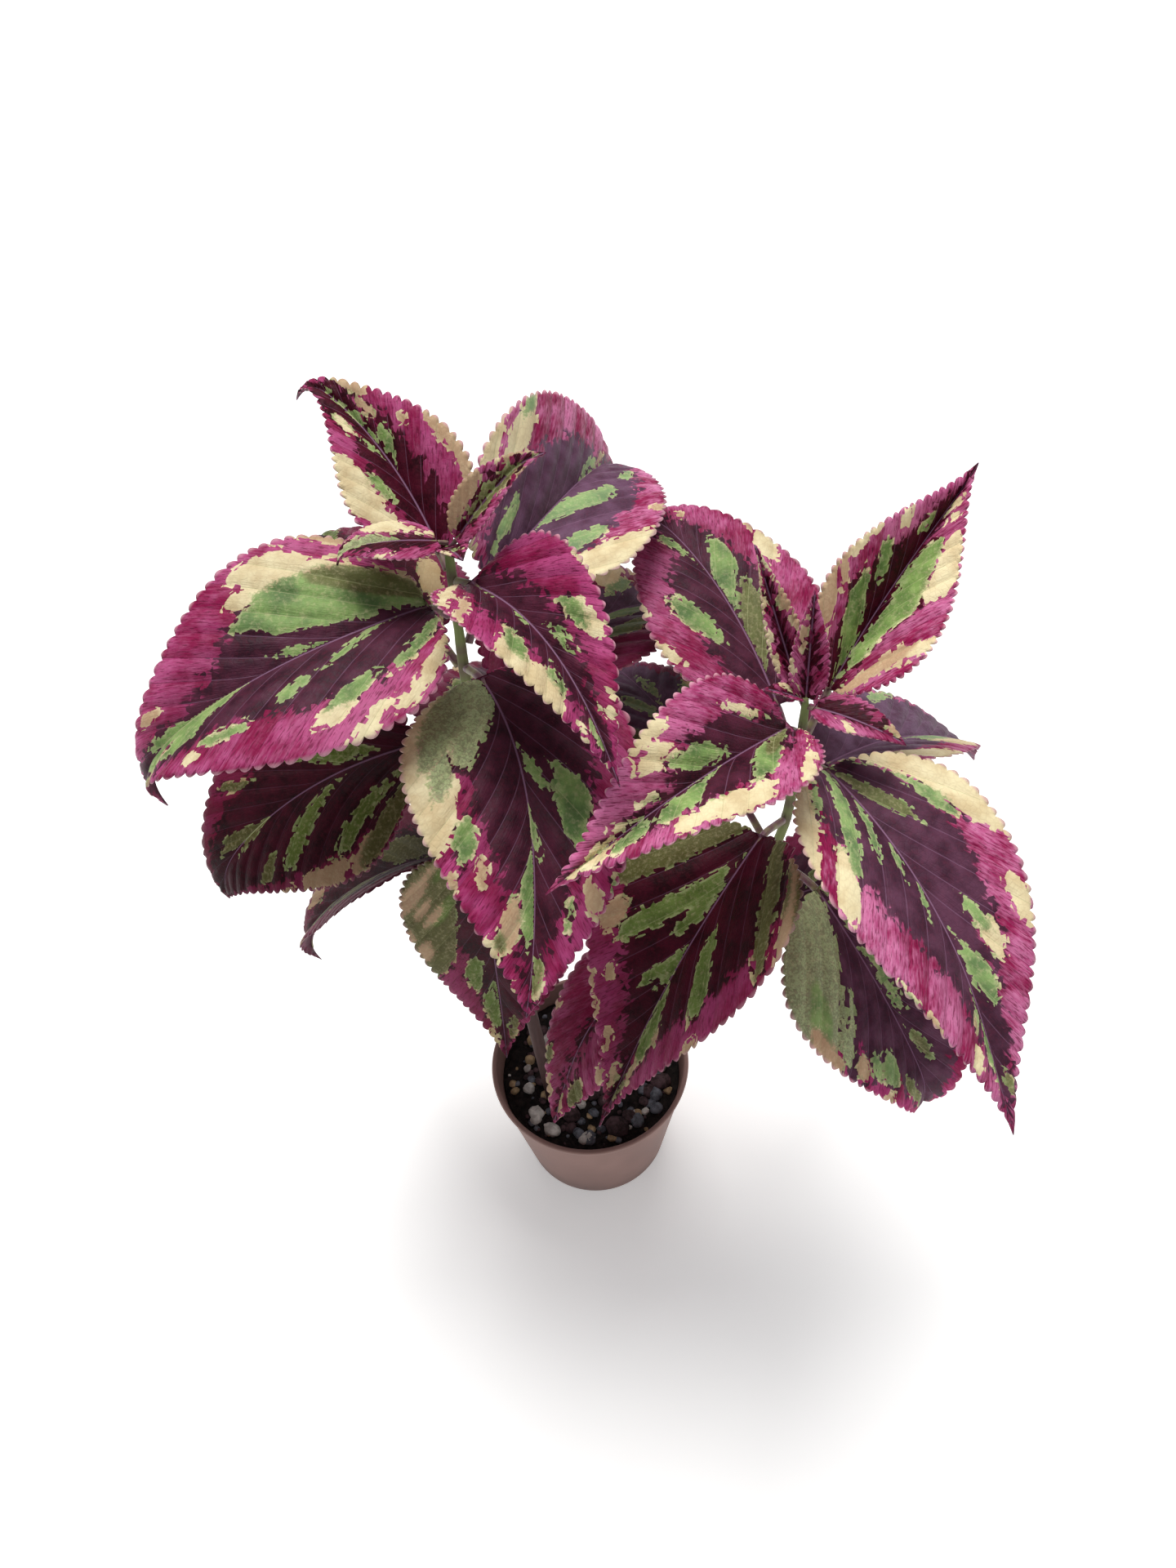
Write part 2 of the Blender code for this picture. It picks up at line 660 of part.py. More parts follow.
def build_part():
    clear_scene()
    parts = new_collection(NAME)
    tools = new_collection(NAME + "_tools")
    materials = {name: make_material(name) for name in MATERIALS}
    build_pot(parts, tools, materials["pot"])
    build_soil(parts, tools, materials["soil"])
    section = square_section(tools)
    for name in STEMS:
        young = [leaf for leaf in YOUNG_LEAVES if leaf.stem == name]
        build_stem(name, section, parts, tools, materials["stem"], young)
    for leaf in LEAVES:
        youngest = "_1_" in leaf.name
        material = materials["leaf_magenta" if youngest else "leaf_purple"]
        add_object(leaf.name, leaf_mesh(leaf), parts, material, 50)


build_part()
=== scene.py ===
"""Potted coleus: the fine leaves, stems, soil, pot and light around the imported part."""
import math
import random
from collections import namedtuple

import bmesh
import bpy
import numpy as np
from mathutils import Matrix, Vector, noise
from mathutils.geometry import delaunay_2d_cdt


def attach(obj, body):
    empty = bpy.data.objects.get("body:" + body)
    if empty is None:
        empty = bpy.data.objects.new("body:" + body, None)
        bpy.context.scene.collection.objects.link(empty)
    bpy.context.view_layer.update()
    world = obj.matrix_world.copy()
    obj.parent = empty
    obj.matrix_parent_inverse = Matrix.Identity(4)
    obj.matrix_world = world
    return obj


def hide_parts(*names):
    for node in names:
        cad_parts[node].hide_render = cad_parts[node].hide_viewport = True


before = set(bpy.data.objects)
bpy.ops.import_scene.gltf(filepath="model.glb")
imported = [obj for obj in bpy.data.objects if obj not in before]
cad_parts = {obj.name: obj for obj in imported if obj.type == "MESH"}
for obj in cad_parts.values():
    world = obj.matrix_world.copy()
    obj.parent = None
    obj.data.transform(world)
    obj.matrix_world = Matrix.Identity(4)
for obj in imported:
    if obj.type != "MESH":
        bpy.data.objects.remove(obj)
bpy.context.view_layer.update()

MM = 0.001
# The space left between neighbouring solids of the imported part
GAP = 0.3 * MM

# Camera, as worked out from the pot's rim and the plant in the photograph
CAMERA_PLACE = (0.00732, -0.2193, 0.461)
CAMERA_PITCH = 48.38
CAMERA_ROLL = -4.38
CAMERA_LENS = 27.0
CAMERA_SENSOR = 36.0

# Light and floor
SKY_COLOUR = (0.97, 0.98, 1.0, 1.0)
SKY_STRENGTH = 0.3
KEY_STRENGTH = 3.1
KEY_ANGLE = 38
KEY_COLOUR = (1.0, 0.985, 0.96)
KEY_FROM = (-0.05, 0.3, 1.0)
FLOOR_HALF = 3
FLOOR_LEVEL = -0.2 * MM
# A faint glow that lightens the shadow on the floor
FLOOR_GLOW = 0.28

# Pot and soil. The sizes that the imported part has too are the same.
POT_TOP_RADIUS = 37.5 * MM
POT_BASE_RADIUS = 28.0 * MM
POT_HEIGHT = 56.5 * MM
POT_WALL = 1.2 * MM
POT_FLOOR = 1.6 * MM
POT_FILLET = 2.0 * MM
POT_FOOT = 1.5 * MM
RIM_DEPTH = 2.0 * MM
RIM_PROUD = 0.7 * MM
DRAIN_HOLES = 4
DRAIN_RADIUS = 3.0 * MM
DRAIN_CIRCLE = 19.0 * MM
POT_STEPS = 160
SOIL_TOP = 47.0 * MM
SOIL_BOTTOM = 6.0 * MM
SOIL_CROWN = 1.5 * MM
SOIL_ROUGHNESS = 1.6 * MM
SOIL_RINGS = 56
SOIL_STEPS = 150
GRAIN_COUNT = 34
GRAIN_RADIUS = (1.5 * MM, 3.4 * MM)
GRAIN_SEED = 11
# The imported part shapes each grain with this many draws, and they are skipped here
GRAIN_DRAWS = 13
# Small chips as rows of a count and their smallest and largest radius
CHIP_SIZES = ((90, 0.5 * MM, 1.1 * MM), (120, 1.0 * MM, 1.8 * MM), (46, 1.7 * MM, 2.8 * MM),
              (9, 3.2 * MM, 4.6 * MM))
CHIP_SEED = 5
SHAPE_SEED = 8
# Material, dark colour, light colour and roughness
GRAIN_MATERIALS = (
    ("grain_white", "a8a39c", "e4e0d8", 0.75), ("grain_tan", "8a7355", "c7ad86", 0.7),
    ("grain_slate", "3b3d44", "7b7f88", 0.55), ("grain_bark", "2a1d1c", "5d474b", 0.85))
# The shares of grains and of chips at which one material gives way to the next
GRAIN_KINDS = (0.3, 0.5)
CHIP_KINDS = (0.16, 0.32, 0.62)
# The last material, which everything above this radius gets
BARK = 3
BARK_RADIUS = 3.5 * MM

# Stems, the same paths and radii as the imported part
Stem = namedtuple("Stem", "path base_radius tip_radius")
STEMS = {
    "left": Stem(
        [(-14.5, -12, 33), (-14.8, -10, 46), (-18, -6, 90), (-21.5, 2, 150),
         (-23, 9, 210), (-23.2, 13, 248), (-22.2, 16, 288)], 2.9 * MM, 1.2 * MM),
    "right": Stem(
        [(5, 6, 33), (7, 5, 46), (20, 2, 80), (40, -5, 130), (54, -10, 170),
         (61, -11, 200), (63.5, -9, 220), (64.7, -6.4, 248)], 2.5 * MM, 1.1 * MM),
}
NODE_SWELLING = 1.18
STEM_SUNK = 6.0 * MM
STEM_SPACING = 1.3 * MM
STEM_SIDES = 24

# Leaves. A heading has the imported part's numbers, in mm and degrees, then the space between teeth in
# mm, the tone, which is darker for older leaves and is also painted shade on leaves that sit in shade and
# painted light on leaves in the open, how much painted slate sheen the purple has and how much painted pink
# sheen highlight the magenta has. The markings follow, each with its kind and with L or R for the leaf's
# own left or right. A place is where a side vein leaves the midrib, in percent of the blade's length, and a
# reach is how far out a point lies, in percent of the half width there. E is the edge of the dark centre,
# as pairs of place and reach. A patch has its span of places and its span of reaches, and lies over the
# ones before it: g green, c cream, m magenta, p purple, t tan, o olive, s mottled sage.
Leaf = namedtuple(
    "Leaf", "name stem height heading stalk stalk_rise length width taper"
    " pitch_base pitch_end tip_curl turn roll fold arch teeth tone slate pink edges patches")
GROWN = """
= leaf_left_1_back left 279 113 4 33 69 38 1.7 34 13 -64 30 -12 28 -2 2.9 1.1 0 0.35
EL -10 34 20 36 40 56 52 100; ER -10 38 20 40 40 50 60 64 74 100; cL -16 18 46 100; gL 6 18 28 52;
cL 38 52 30 60; gL 36 43 8 26; gR 30 43 8 34; tR 42 57 26 54; gR 46 82 0 12; tR 20 27 56 72;
tR -22 12 78 100; tR 46 66 60 100; mL 22 36 60 100; gL 60 80 0 6
= leaf_left_1_front left 278 -54 8 25 72 40 1.4 18 -44 4 -18 7 26 -14 2.8 1.05 0.1 0.2
EL -20 40 0 36 10 32 30 40 50 30 80 42; ER -20 42 10 44 30 32 60 34 80 40; cL 16 34 54 80; gL 15 31 42 66;
cL 25 33 72 90; gL 32 46 14 30; cR 16 56 44 100; gR 18 32 34 64; gR 44 57 22 46; tR -8 -2 48 92;
cR -20 -12 54 96; gR 24 34 0 5; gR 4 12 0 8; gR 72 94 6 50; cR 64 74 50 90; cL 64 70 40 90; cL 54 58 60 100;
tL -12 8 96 100
= leaf_left_2_side left 268 216 7 52 98 65 1.35 11 -58 -44 -33 -14 21 27 3.4 1.05 0.15 0.4
EL -25 45 -5 62 20 50 40 42 58 60 66 100; ER -10 52 14 52 30 38 45 24 60 14 72 30 79 100; gR -20 22 9 56;
gR 14 23 34 50; cR -17 14 52 72; cR -17 3 66 90; gR -14 10 40 60; oR -24 -3 14 60; tR -32 -19 46 100;
mR -25 -18 70 100; gR 27 34 1 10; tR 56 63 42 76; gR 66 77 0 18; gL 50 77 0 50; cL 39 46 58 80;
gL 26 43 46 60; gL 10 15 4 26; gL 16 22 26 42; cL -7 3 60 79; gL -8 2 48 66; cL -19 -13 76 100;
gL -18 -11 36 60; cL -27 -21 62 92; tL 62 70 60 100; mL 62 68 26 40
= leaf_left_2_back left 256 52 17 52 97 59 1.1 8 -43 -19 26 36 29 -3 3.4 1.15 0.55 1
EL 0 54 30 50 45 42 60 22 75 10; ER 0 58 20 66 40 62 60 50; cL -11 5 62 94; gL -4 3 84 100;
cL -22 -13 78 100; gL 50 61 3 16; tL 63 70 4 22; gR 20 36 0 42; gR 39 52 40 54; gR -6 5 34 60;
cR -26 -5 56 100; tR 6 12 84 98; gL -6 4 24 40
= leaf_left_3_front left 251 -65 11 26 92 58 1.1 2 -60 16 -43 0 14 10 3.2 1.05 0.1 0.2
EL 0 60 30 55 50 44 70 40; ER 0 45 30 44 50 36 72 30; gL 15 36 24 56; gL 24 31 3 19; gL 46 56 0 9;
gL 50 60 46 60; tL 38 47 62 94; oL 78 90 8 50; gL 29 36 90 100; sR -26 8 3 60; cR -26 19 56 100;
sR -26 -4 44 84; sR -6 6 56 78; gR 18 31 50 76; tR 33 43 48 62; gR 55 78 0 20; tR 56 70 20 58;
cR 57 70 72 100; oR 60 68 54 76; cR 80 86 60 100; tR 26 34 84 98
= leaf_left_3_back left 249 126 11 28 87 50 1.2 7 -32 -34 -4 6 5 24 3.4 0.7 0 0.2
EL 0 50 60 50; ER 0 48 60 40; gL 4 24 10 70; gL 40 52 4 40; cL 20 30 60 100; gR 60 74 10 60; cR -10 6 30 70;
cR 0 14 70 100; mR -16 -8 50 100; oR 20 40 6 30
= leaf_left_4_side left 220 184 15 24 84 62 1.1 -11 -56 -34 22 -22 10 22 3.4 0.6 0 0.1
EL 0 78 30 82 60 90; ER 0 46 30 52 60 60; gL 17 28 8 70; oL 34 43 44 80; tL -14 14 76 98; gL -14 -3 36 76;
tL -24 -15 72 96; oL -32 -19 48 96; oR 58 72 0 26; oL 58 68 0 12; oR 28 34 44 78; gR 5 18 6 40;
tL 18 26 88 100; mR 60 72 70 100
= leaf_left_4_back left 223 50 14 36 93 57 1.1 8 -50 -15 -14 2 18 8 3.4 0.8 0.5 0.4
EL 0 40 40 30 60 40; ER 0 50 60 50; gL 37 50 24 56; cL 30 43 40 84; tL 45 52 70 100; gR 34 52 1 32;
gR 8 27 34 62; mR -22 20 58 100; gL 4 16 8 60; gL 20 27 10 44; cR 52 60 20 70
= leaf_left_5_front left 195 -98 12 16 89 57 1.3 -80 -80 16 6 4 2 12 3.4 0.8 0 0.2
EL 0 60 60 60; ER 0 52 30 34 60 40; gR 57 80 4 44; gR 33 50 18 48; oR -30 26 34 100; gR -26 -14 40 66;
gR -4 4 36 64; tR 5 15 74 96; tR -4 1 50 72; tR -22 -13 70 100; tR -11 -6 64 82; cR 74 90 40 100;
oL 67 83 28 68; oL 20 44 6 40; gL 2 12 20 80; tR -6 2 90 100
= leaf_left_5_back left 195 86 13 20 84 54 1.1 0 -45 -20 0 0 10 15 3.4 0.6 0.2 0.2
EL 0 55 60 50; ER 0 50 60 55; gL 8 26 8 66; cL 30 40 40 100; gR 22 44 6 52; cR 2 12 50 100; gR 56 72 4 40
= leaf_left_6_side left 165 154 19 16 91 54 1.4 -32 -62 -44 42 8 24 18 3.4 0.6 0 0.1
EL 0 62 60 66; ER 0 56 60 40; oR -13 19 4 42; tR 45 60 40 90; oL 6 20 10 60; gL 34 46 20 70;
cL 50 60 50 100
= leaf_left_7_back left 141 110 14 12 74 46 1.1 -10 -50 -20 0 0 10 15 3.4 0.6 0 0.1
EL 0 58 60 60; ER 0 60 60 55; gL 12 30 10 60; oR 24 50 5 50; cR 0 10 60 100; gL 50 66 6 40
= leaf_right_1_back right 233 50 13 40 71 44 1.2 31 41 10 -18 25 42 0 2.6 1.3 0 0.8
EL 0 46 30 56 50 36 75 44; ER 0 30 30 50 60 14 80 14; gL 55 66 20 42; cL 38 47 56 96; gL 24 34 28 66;
gL 0 18 4 60; cL -5 25 84 100; mL 6 24 62 84; tL -22 -5 66 100; tL -5 2 70 100; gR 2 57 6 52;
cR 14 54 49 96; pR 26 42 2 12; mR -8 12 28 97; tR -16 -5 36 78; cR -17 -9 76 98; cR 72 80 8 44;
cR 62 68 30 60
= leaf_right_1_side right 238 226 8 50 85 42 1.3 22 -14 8 -10 -16 34 12 2.8 1.15 0.1 0.7
EL 0 40 20 52 50 46 75 34; ER -5 46 20 52 45 18 80 10; cL 73 85 6 64; gL 58 73 8 54; cL 16 48 52 88;
gL 35 54 2 46; pL 13 36 6 50; gL 1 15 8 60; oL -1 9 4 34; cL 4 27 62 96; mL 46 56 56 100; cL -14 -8 72 100;
cR 71 83 2 28; cR 64 70 6 34; cR 50 57 16 30; gR 21 38 9 44; cR 24 42 48 78; cR 14 34 78 100; cR -4 1 36 62;
cL 86 94 0 60
= leaf_right_2_back right 225 106 14 46 87 52 1.1 28 -10 -40 16 0 12 18 3.4 1.05 0.15 0.6
EL 0 46 30 56 48 24 60 40; ER 0 50 50 42 70 30; gL 52 61 6 38; gL 5 19 30 66; gR 31 49 2 42; oR 9 29 1 34;
tR 62 67 34 57; cR 10 24 70 100; tR 24 29 88 100; cL -16 -9 84 100; cL 1 7 92 100
= leaf_right_2_front right 225 -58 10 48 104 62 1.4 -6 -62 20 -19 -12 11 2 3.4 1.15 0.28 0.9
EL 0 58 30 54 50 38 70 52; ER 0 62 20 50 40 36 60 26 80 20; gL 46 60 5 38; cL 29 42 32 58; gL 27 35 27 44;
cL 8 23 74 98; oL 78 86 20 90; oL -2 6 6 34; cL -26 -6 62 100; gL -14 -4 52 68; gL -28 -20 40 62;
gR 33 38 0 12; gR 22 27 3 14; gR 8 14 2 26; gR -6 3 10 48; cR -9 1 56 96; gR -4 2 44 62; cR -28 -16 52 100;
gR -22 -13 34 68; gR 62 66 2 14; gR 71 86 0 26; cR 64 71 38 74; tR 62 66 16 30; tR 33 44 90 100;
gR 18 32 94 100
= leaf_right_3_side right 212 37 11 28 86 45 1.3 -12 -57 0 -13 -7 19 6 3.4 0.95 0.7 0.6
EL 0 84 60 88; ER 0 60 60 60; gL 10 20 70 92; gL 16 24 84 100; cR 24 44 30 92; gR 26 40 14 46;
tR 44 56 58 100; gR -16 -6 20 60; cR -12 4 50 100
= leaf_right_3_front right 206 -134 10 20 96 72 1.6 -22 -67 17 0 14 20 -5 3.4 0.85 0 0.25
EL -30 80 0 66 20 60 30 50 60 40 75 60; ER -30 80 0 66 20 56 35 42 60 32 80 60; gL 46 68 2 40;
tL 62 72 26 48; gR 36 48 0 8; tL 44 50 30 42; gL 11 23 16 68; oL -24 -14 26 92; oL -42 -28 30 100;
tL -34 -26 84 100; tL 14 23 86 100; gR 34 41 4 26; gR 12 26 2 16; gR 4 16 4 64; tR -4 8 60 84;
oR -22 -9 20 84; tR -22 -12 80 98; tR 22 31 60 74; tR 50 62 56 78; tR 34 44 84 100; tR 20 30 88 100;
tR 70 84 20 60; oL 72 86 20 60
= leaf_right_4_front right 190 -53 14 5 83 61 1.2 -34 -58 -64 -4 9 23 18 3.4 1.35 0.3 0.1
EL 0 66 60 66; ER -30 80 20 100 30 80 40 54 60 60 75 60; gL 20 44 4 14; oL 50 60 8 26; sR -36 4 4 100;
sR 3 14 34 86; gR -16 -2 60 92; pR 6 9 8 60; pR 13 24 0 44; pR 26 36 0 30; tR -14 8 82 100; tR 16 26 64 90;
gR 34 48 36 72; gR 27 36 50 76; oR 54 76 30 60; mR 44 70 70 100; tR 38 46 84 100; gL -20 12 6 80
= leaf_right_4_back right 191 116 13 26 88 54 1.1 3 -20 -5 -4 0 8 12 3.4 0.75 0.6 0.2
EL 0 60 60 55; ER 0 60 60 66; gR 54 73 4 22; gR 26 40 10 60; cR 30 40 60 100; oL 6 24 10 76; gL 40 52 4 46;
cL -12 0 50 100
= leaf_right_5_front right 150 -158 13 16 78 42 1.1 -12 -78 20 38 10 -2 10 3.4 0.9 0 0.55
EL 0 16 40 12 80 8; ER 0 14 40 10 80 8; oL 60 78 26 92; oR 46 57 66 94; tR 64 80 60 100; tL 36 46 60 84;
tR 66 72 60 100; tR 20 26 84 100; oL 10 24 30 74; tL 84 92 0 60
= leaf_right_5_back right 151 20 12 10 76 46 1.1 0 -45 -20 0 0 10 15 3.4 0.7 0.2 0.2
EL 0 60 60 55; ER 0 55 60 60; gL 10 30 8 58; gR 30 50 10 60; cR -8 4 50 100; cL 40 50 50 100
"""
YOUNG = """
= young_left_side left 288 196 2 30 28 19 1.1 20 -12 -62 -8 5 9 16 3.4 1.05 0 0.6
EL 0 56 60 58; ER 0 20 60 30; cR -14 34 34 100; sR 34 90 0 50; cL 6 20 70 100; sL 60 92 0 40
= young_left_up left 286 4 3 48 33 14.5 1.1 54 36 -30 0 30 26 0 3.4 1.05 0 0.6
EL 0 50 60 50; ER 0 44 60 40; tL -30 30 30 100; oL 14 95 2 34; oR 14 95 2 52; tL 50 90 50 100;
tR 56 80 66 100
= young_left_front left 286 -72 1 35 15 9 1.1 30 20 0 0 0 20 0 3.4 1.05 0 0.6
EL 0 60 60 60; ER 0 60 60 60; gL 10 40 0 40; cR 20 50 40 100
= young_right_back right 244 114 2 45 43 12 1.1 52 66 0 12 -14 30 0 3.4 1.05 0 0.6
EL 0 44 60 40; ER 0 40 60 40; cR -4 28 30 92; tR 40 62 46 100; cR 70 94 40 100; cL 50 90 60 100;
cL 6 42 74 100; tR 28 40 70 100
= young_right_up right 245 80 1 65 30 12 1.1 64 74 0 0 0 28 0 3.4 1.05 0 0.6
EL 0 40 60 30; ER 0 46 60 30; tL 34 74 26 90; cL 0 14 70 100
= young_right_side right 245 -36 2 27 26 14 1.1 10 -17 0 0 0 15 10 3.4 1.05 0 0.6
EL 0 60 60 50; ER 0 20 60 20; tL 58 90 30 100; cR 10 24 50 100
= young_right_front right 247 188 1 45 13 7 1.1 34 24 0 0 0 20 0 3.4 1.05 0 0.6
EL 0 30 60 30; ER 0 30 60 30; cR 10 40 40 100
"""
BASE_SWELL = 0.58
STALK_RADIUS = 1.1 * MM
MIDRIB_STEPS = 288

# Blade detail. Young leaves have finer teeth, points and stalks, by YOUNG_SIZE. Their seeds come after
# the grown ones', from YOUNG_INDEX.
YOUNG_SIZE = 0.55
YOUNG_INDEX = 40
STALK_SIDES = 10
# How far into or out of a patch is worth knowing, in mm
FURTHEST = 6.0
THICKNESS = 0.5 * MM
TOP_SPACING = 0.64 * MM
UNDER_SPACING = 1.7 * MM
TOOTH_DEPTH = 1.35 * MM
TOOTH_POINTS = 8
TEETH_START = 2.5 * MM
TEETH_END = 3.0 * MM
# Side veins: the place of the first one and the steps between them in percent of the blade's length,
# how far the right ones are set off from the left, and how they run forward on their way out
VEIN_FIRST = 5.0
VEIN_SPACING = 10.5
VEIN_STAGGER = 2.5
VEIN_SWEEP = 1.5
VEIN_BEND = 0.75
# Waves along the margin, and the groove along the midrib
WAVE_HEIGHT = 0.45 * MM
WAVE_LENGTH = 7.5 * MM
GROOVE_DEPTH = 0.25 * MM
GROOVE_WIDTH = 0.6 * MM
QUILT = 0.65 * MM
PEBBLE = 2.3 * MM
PEBBLE_HEIGHT = 0.06 * MM
LEAF_ATTRIBUTES = ("leaf_pos", "leaf_mask", "leaf_more", "leaf_relief", "leaf_tone_shade_and_sheen")


# Nodes for materials

class Shader:
    """A small helper that adds nodes to a material and links them."""

    def __init__(self, name):
        self.material = bpy.data.materials.new(name)
        self.material.use_nodes = True
        self.nodes = self.material.node_tree.nodes
        self.links = self.material.node_tree.links
        self.surface = self.nodes["Principled BSDF"]

    def add(self, kind, settings=None, **inputs):
        node = self.nodes.new("ShaderNode" + kind)
        for key, value in (settings or {}).items():
            setattr(node, key, value)
        for key, value in inputs.items():
            self.set(node, key, value)
        return node

    def set(self, node, key, value):
        """Link or fill an input, given by its name or by its number, as in i0."""
        if key[0] == "i" and key[1:].isdigit():
            socket = node.inputs[int(key[1:])]
        else:
            socket = {socket.name: socket for socket in node.inputs}[key.replace("_", " ")]
        if isinstance(value, bpy.types.NodeSocket):
            self.links.new(value, socket)
        else:
            socket.default_value = (*value, 1.0) if socket.type == "RGBA" else value

    def math(self, operation, first, second=0.0, third=0.0):
        node = self.add("Math", {"operation": operation}, i0=first, i1=second, i2=third)
        return node.outputs[0]

    def total(self, first, *rest):
        for value in rest:
            first = self.math("ADD", first, value)
        return first

    def times(self, first, *rest):
        for value in rest:
            first = self.math("MULTIPLY", first, value)
        return first

    def line(self, value, slope, level):
        return self.math("MULTIPLY_ADD", value, slope, level)

    def swing(self, value, size):
        """A noise from 0 to 1 as one of this size around zero."""
        return self.line(value, size, -size / 2)

    def mix(self, share, first, second, blend="MIX"):
        settings = {"data_type": "RGBA", "blend_type": blend}
        return self.add("Mix", settings, i0=share, i6=first, i7=second).outputs[2]

    def between(self, share, first, second):
        return self.mix(share, rgb(first), rgb(second))

    def over(self, colour, *layers):
        """A colour with others laid over it, each as its share and its code."""
        for share, code in layers:
            colour = self.mix(share, colour, rgb(code))
        return colour

    def step(self, value, low, high, result_low=0.0, result_high=1.0):
        node = self.add("MapRange", {"interpolation_type": "SMOOTHSTEP"}, i0=value, i1=low, i2=high,
                        i3=result_low, i4=result_high)
        return node.outputs[0]

    def vector(self, x, y, z):
        return self.add("CombineXYZ", X=x, Y=y, Z=z).outputs[0]

    def split(self, vector):
        return self.add("SeparateXYZ", Vector=vector).outputs

    def noise(self, vector, scale, detail=2.0, roughness=0.5):
        node = self.add("TexNoise", Vector=vector, Scale=scale, Detail=detail, Roughness=roughness)
        return node.outputs[0]

    def attribute(self, name):
        return self.add("Attribute", {"attribute_name": name}).outputs["Vector"]

    def position(self):
        return self.add("NewGeometry").outputs["Position"]

    def finish(self, colour, bump=None, distance=0.0, strength=0.0, **inputs):
        """Give the surface its colour, its bump in metres and its other inputs."""
        self.set(self.surface, "Base_Color", colour)
        if bump is not None:
            node = self.add("Bump", Height=bump, Distance=distance, Strength=strength)
            self.links.new(node.outputs[0], self.surface.inputs["Normal"])
        for key, value in inputs.items():
            self.set(self.surface, key, value)
        return self.material


def rgb(code):
    """A colour written as it looks on a screen, as linear values."""
    values = [int(code[i:i + 2], 16) / 255 for i in (0, 2, 4)]
    return tuple(v / 12.92 if v <= 0.04045 else ((v + 0.055) / 1.055) ** 2.4 for v in values)


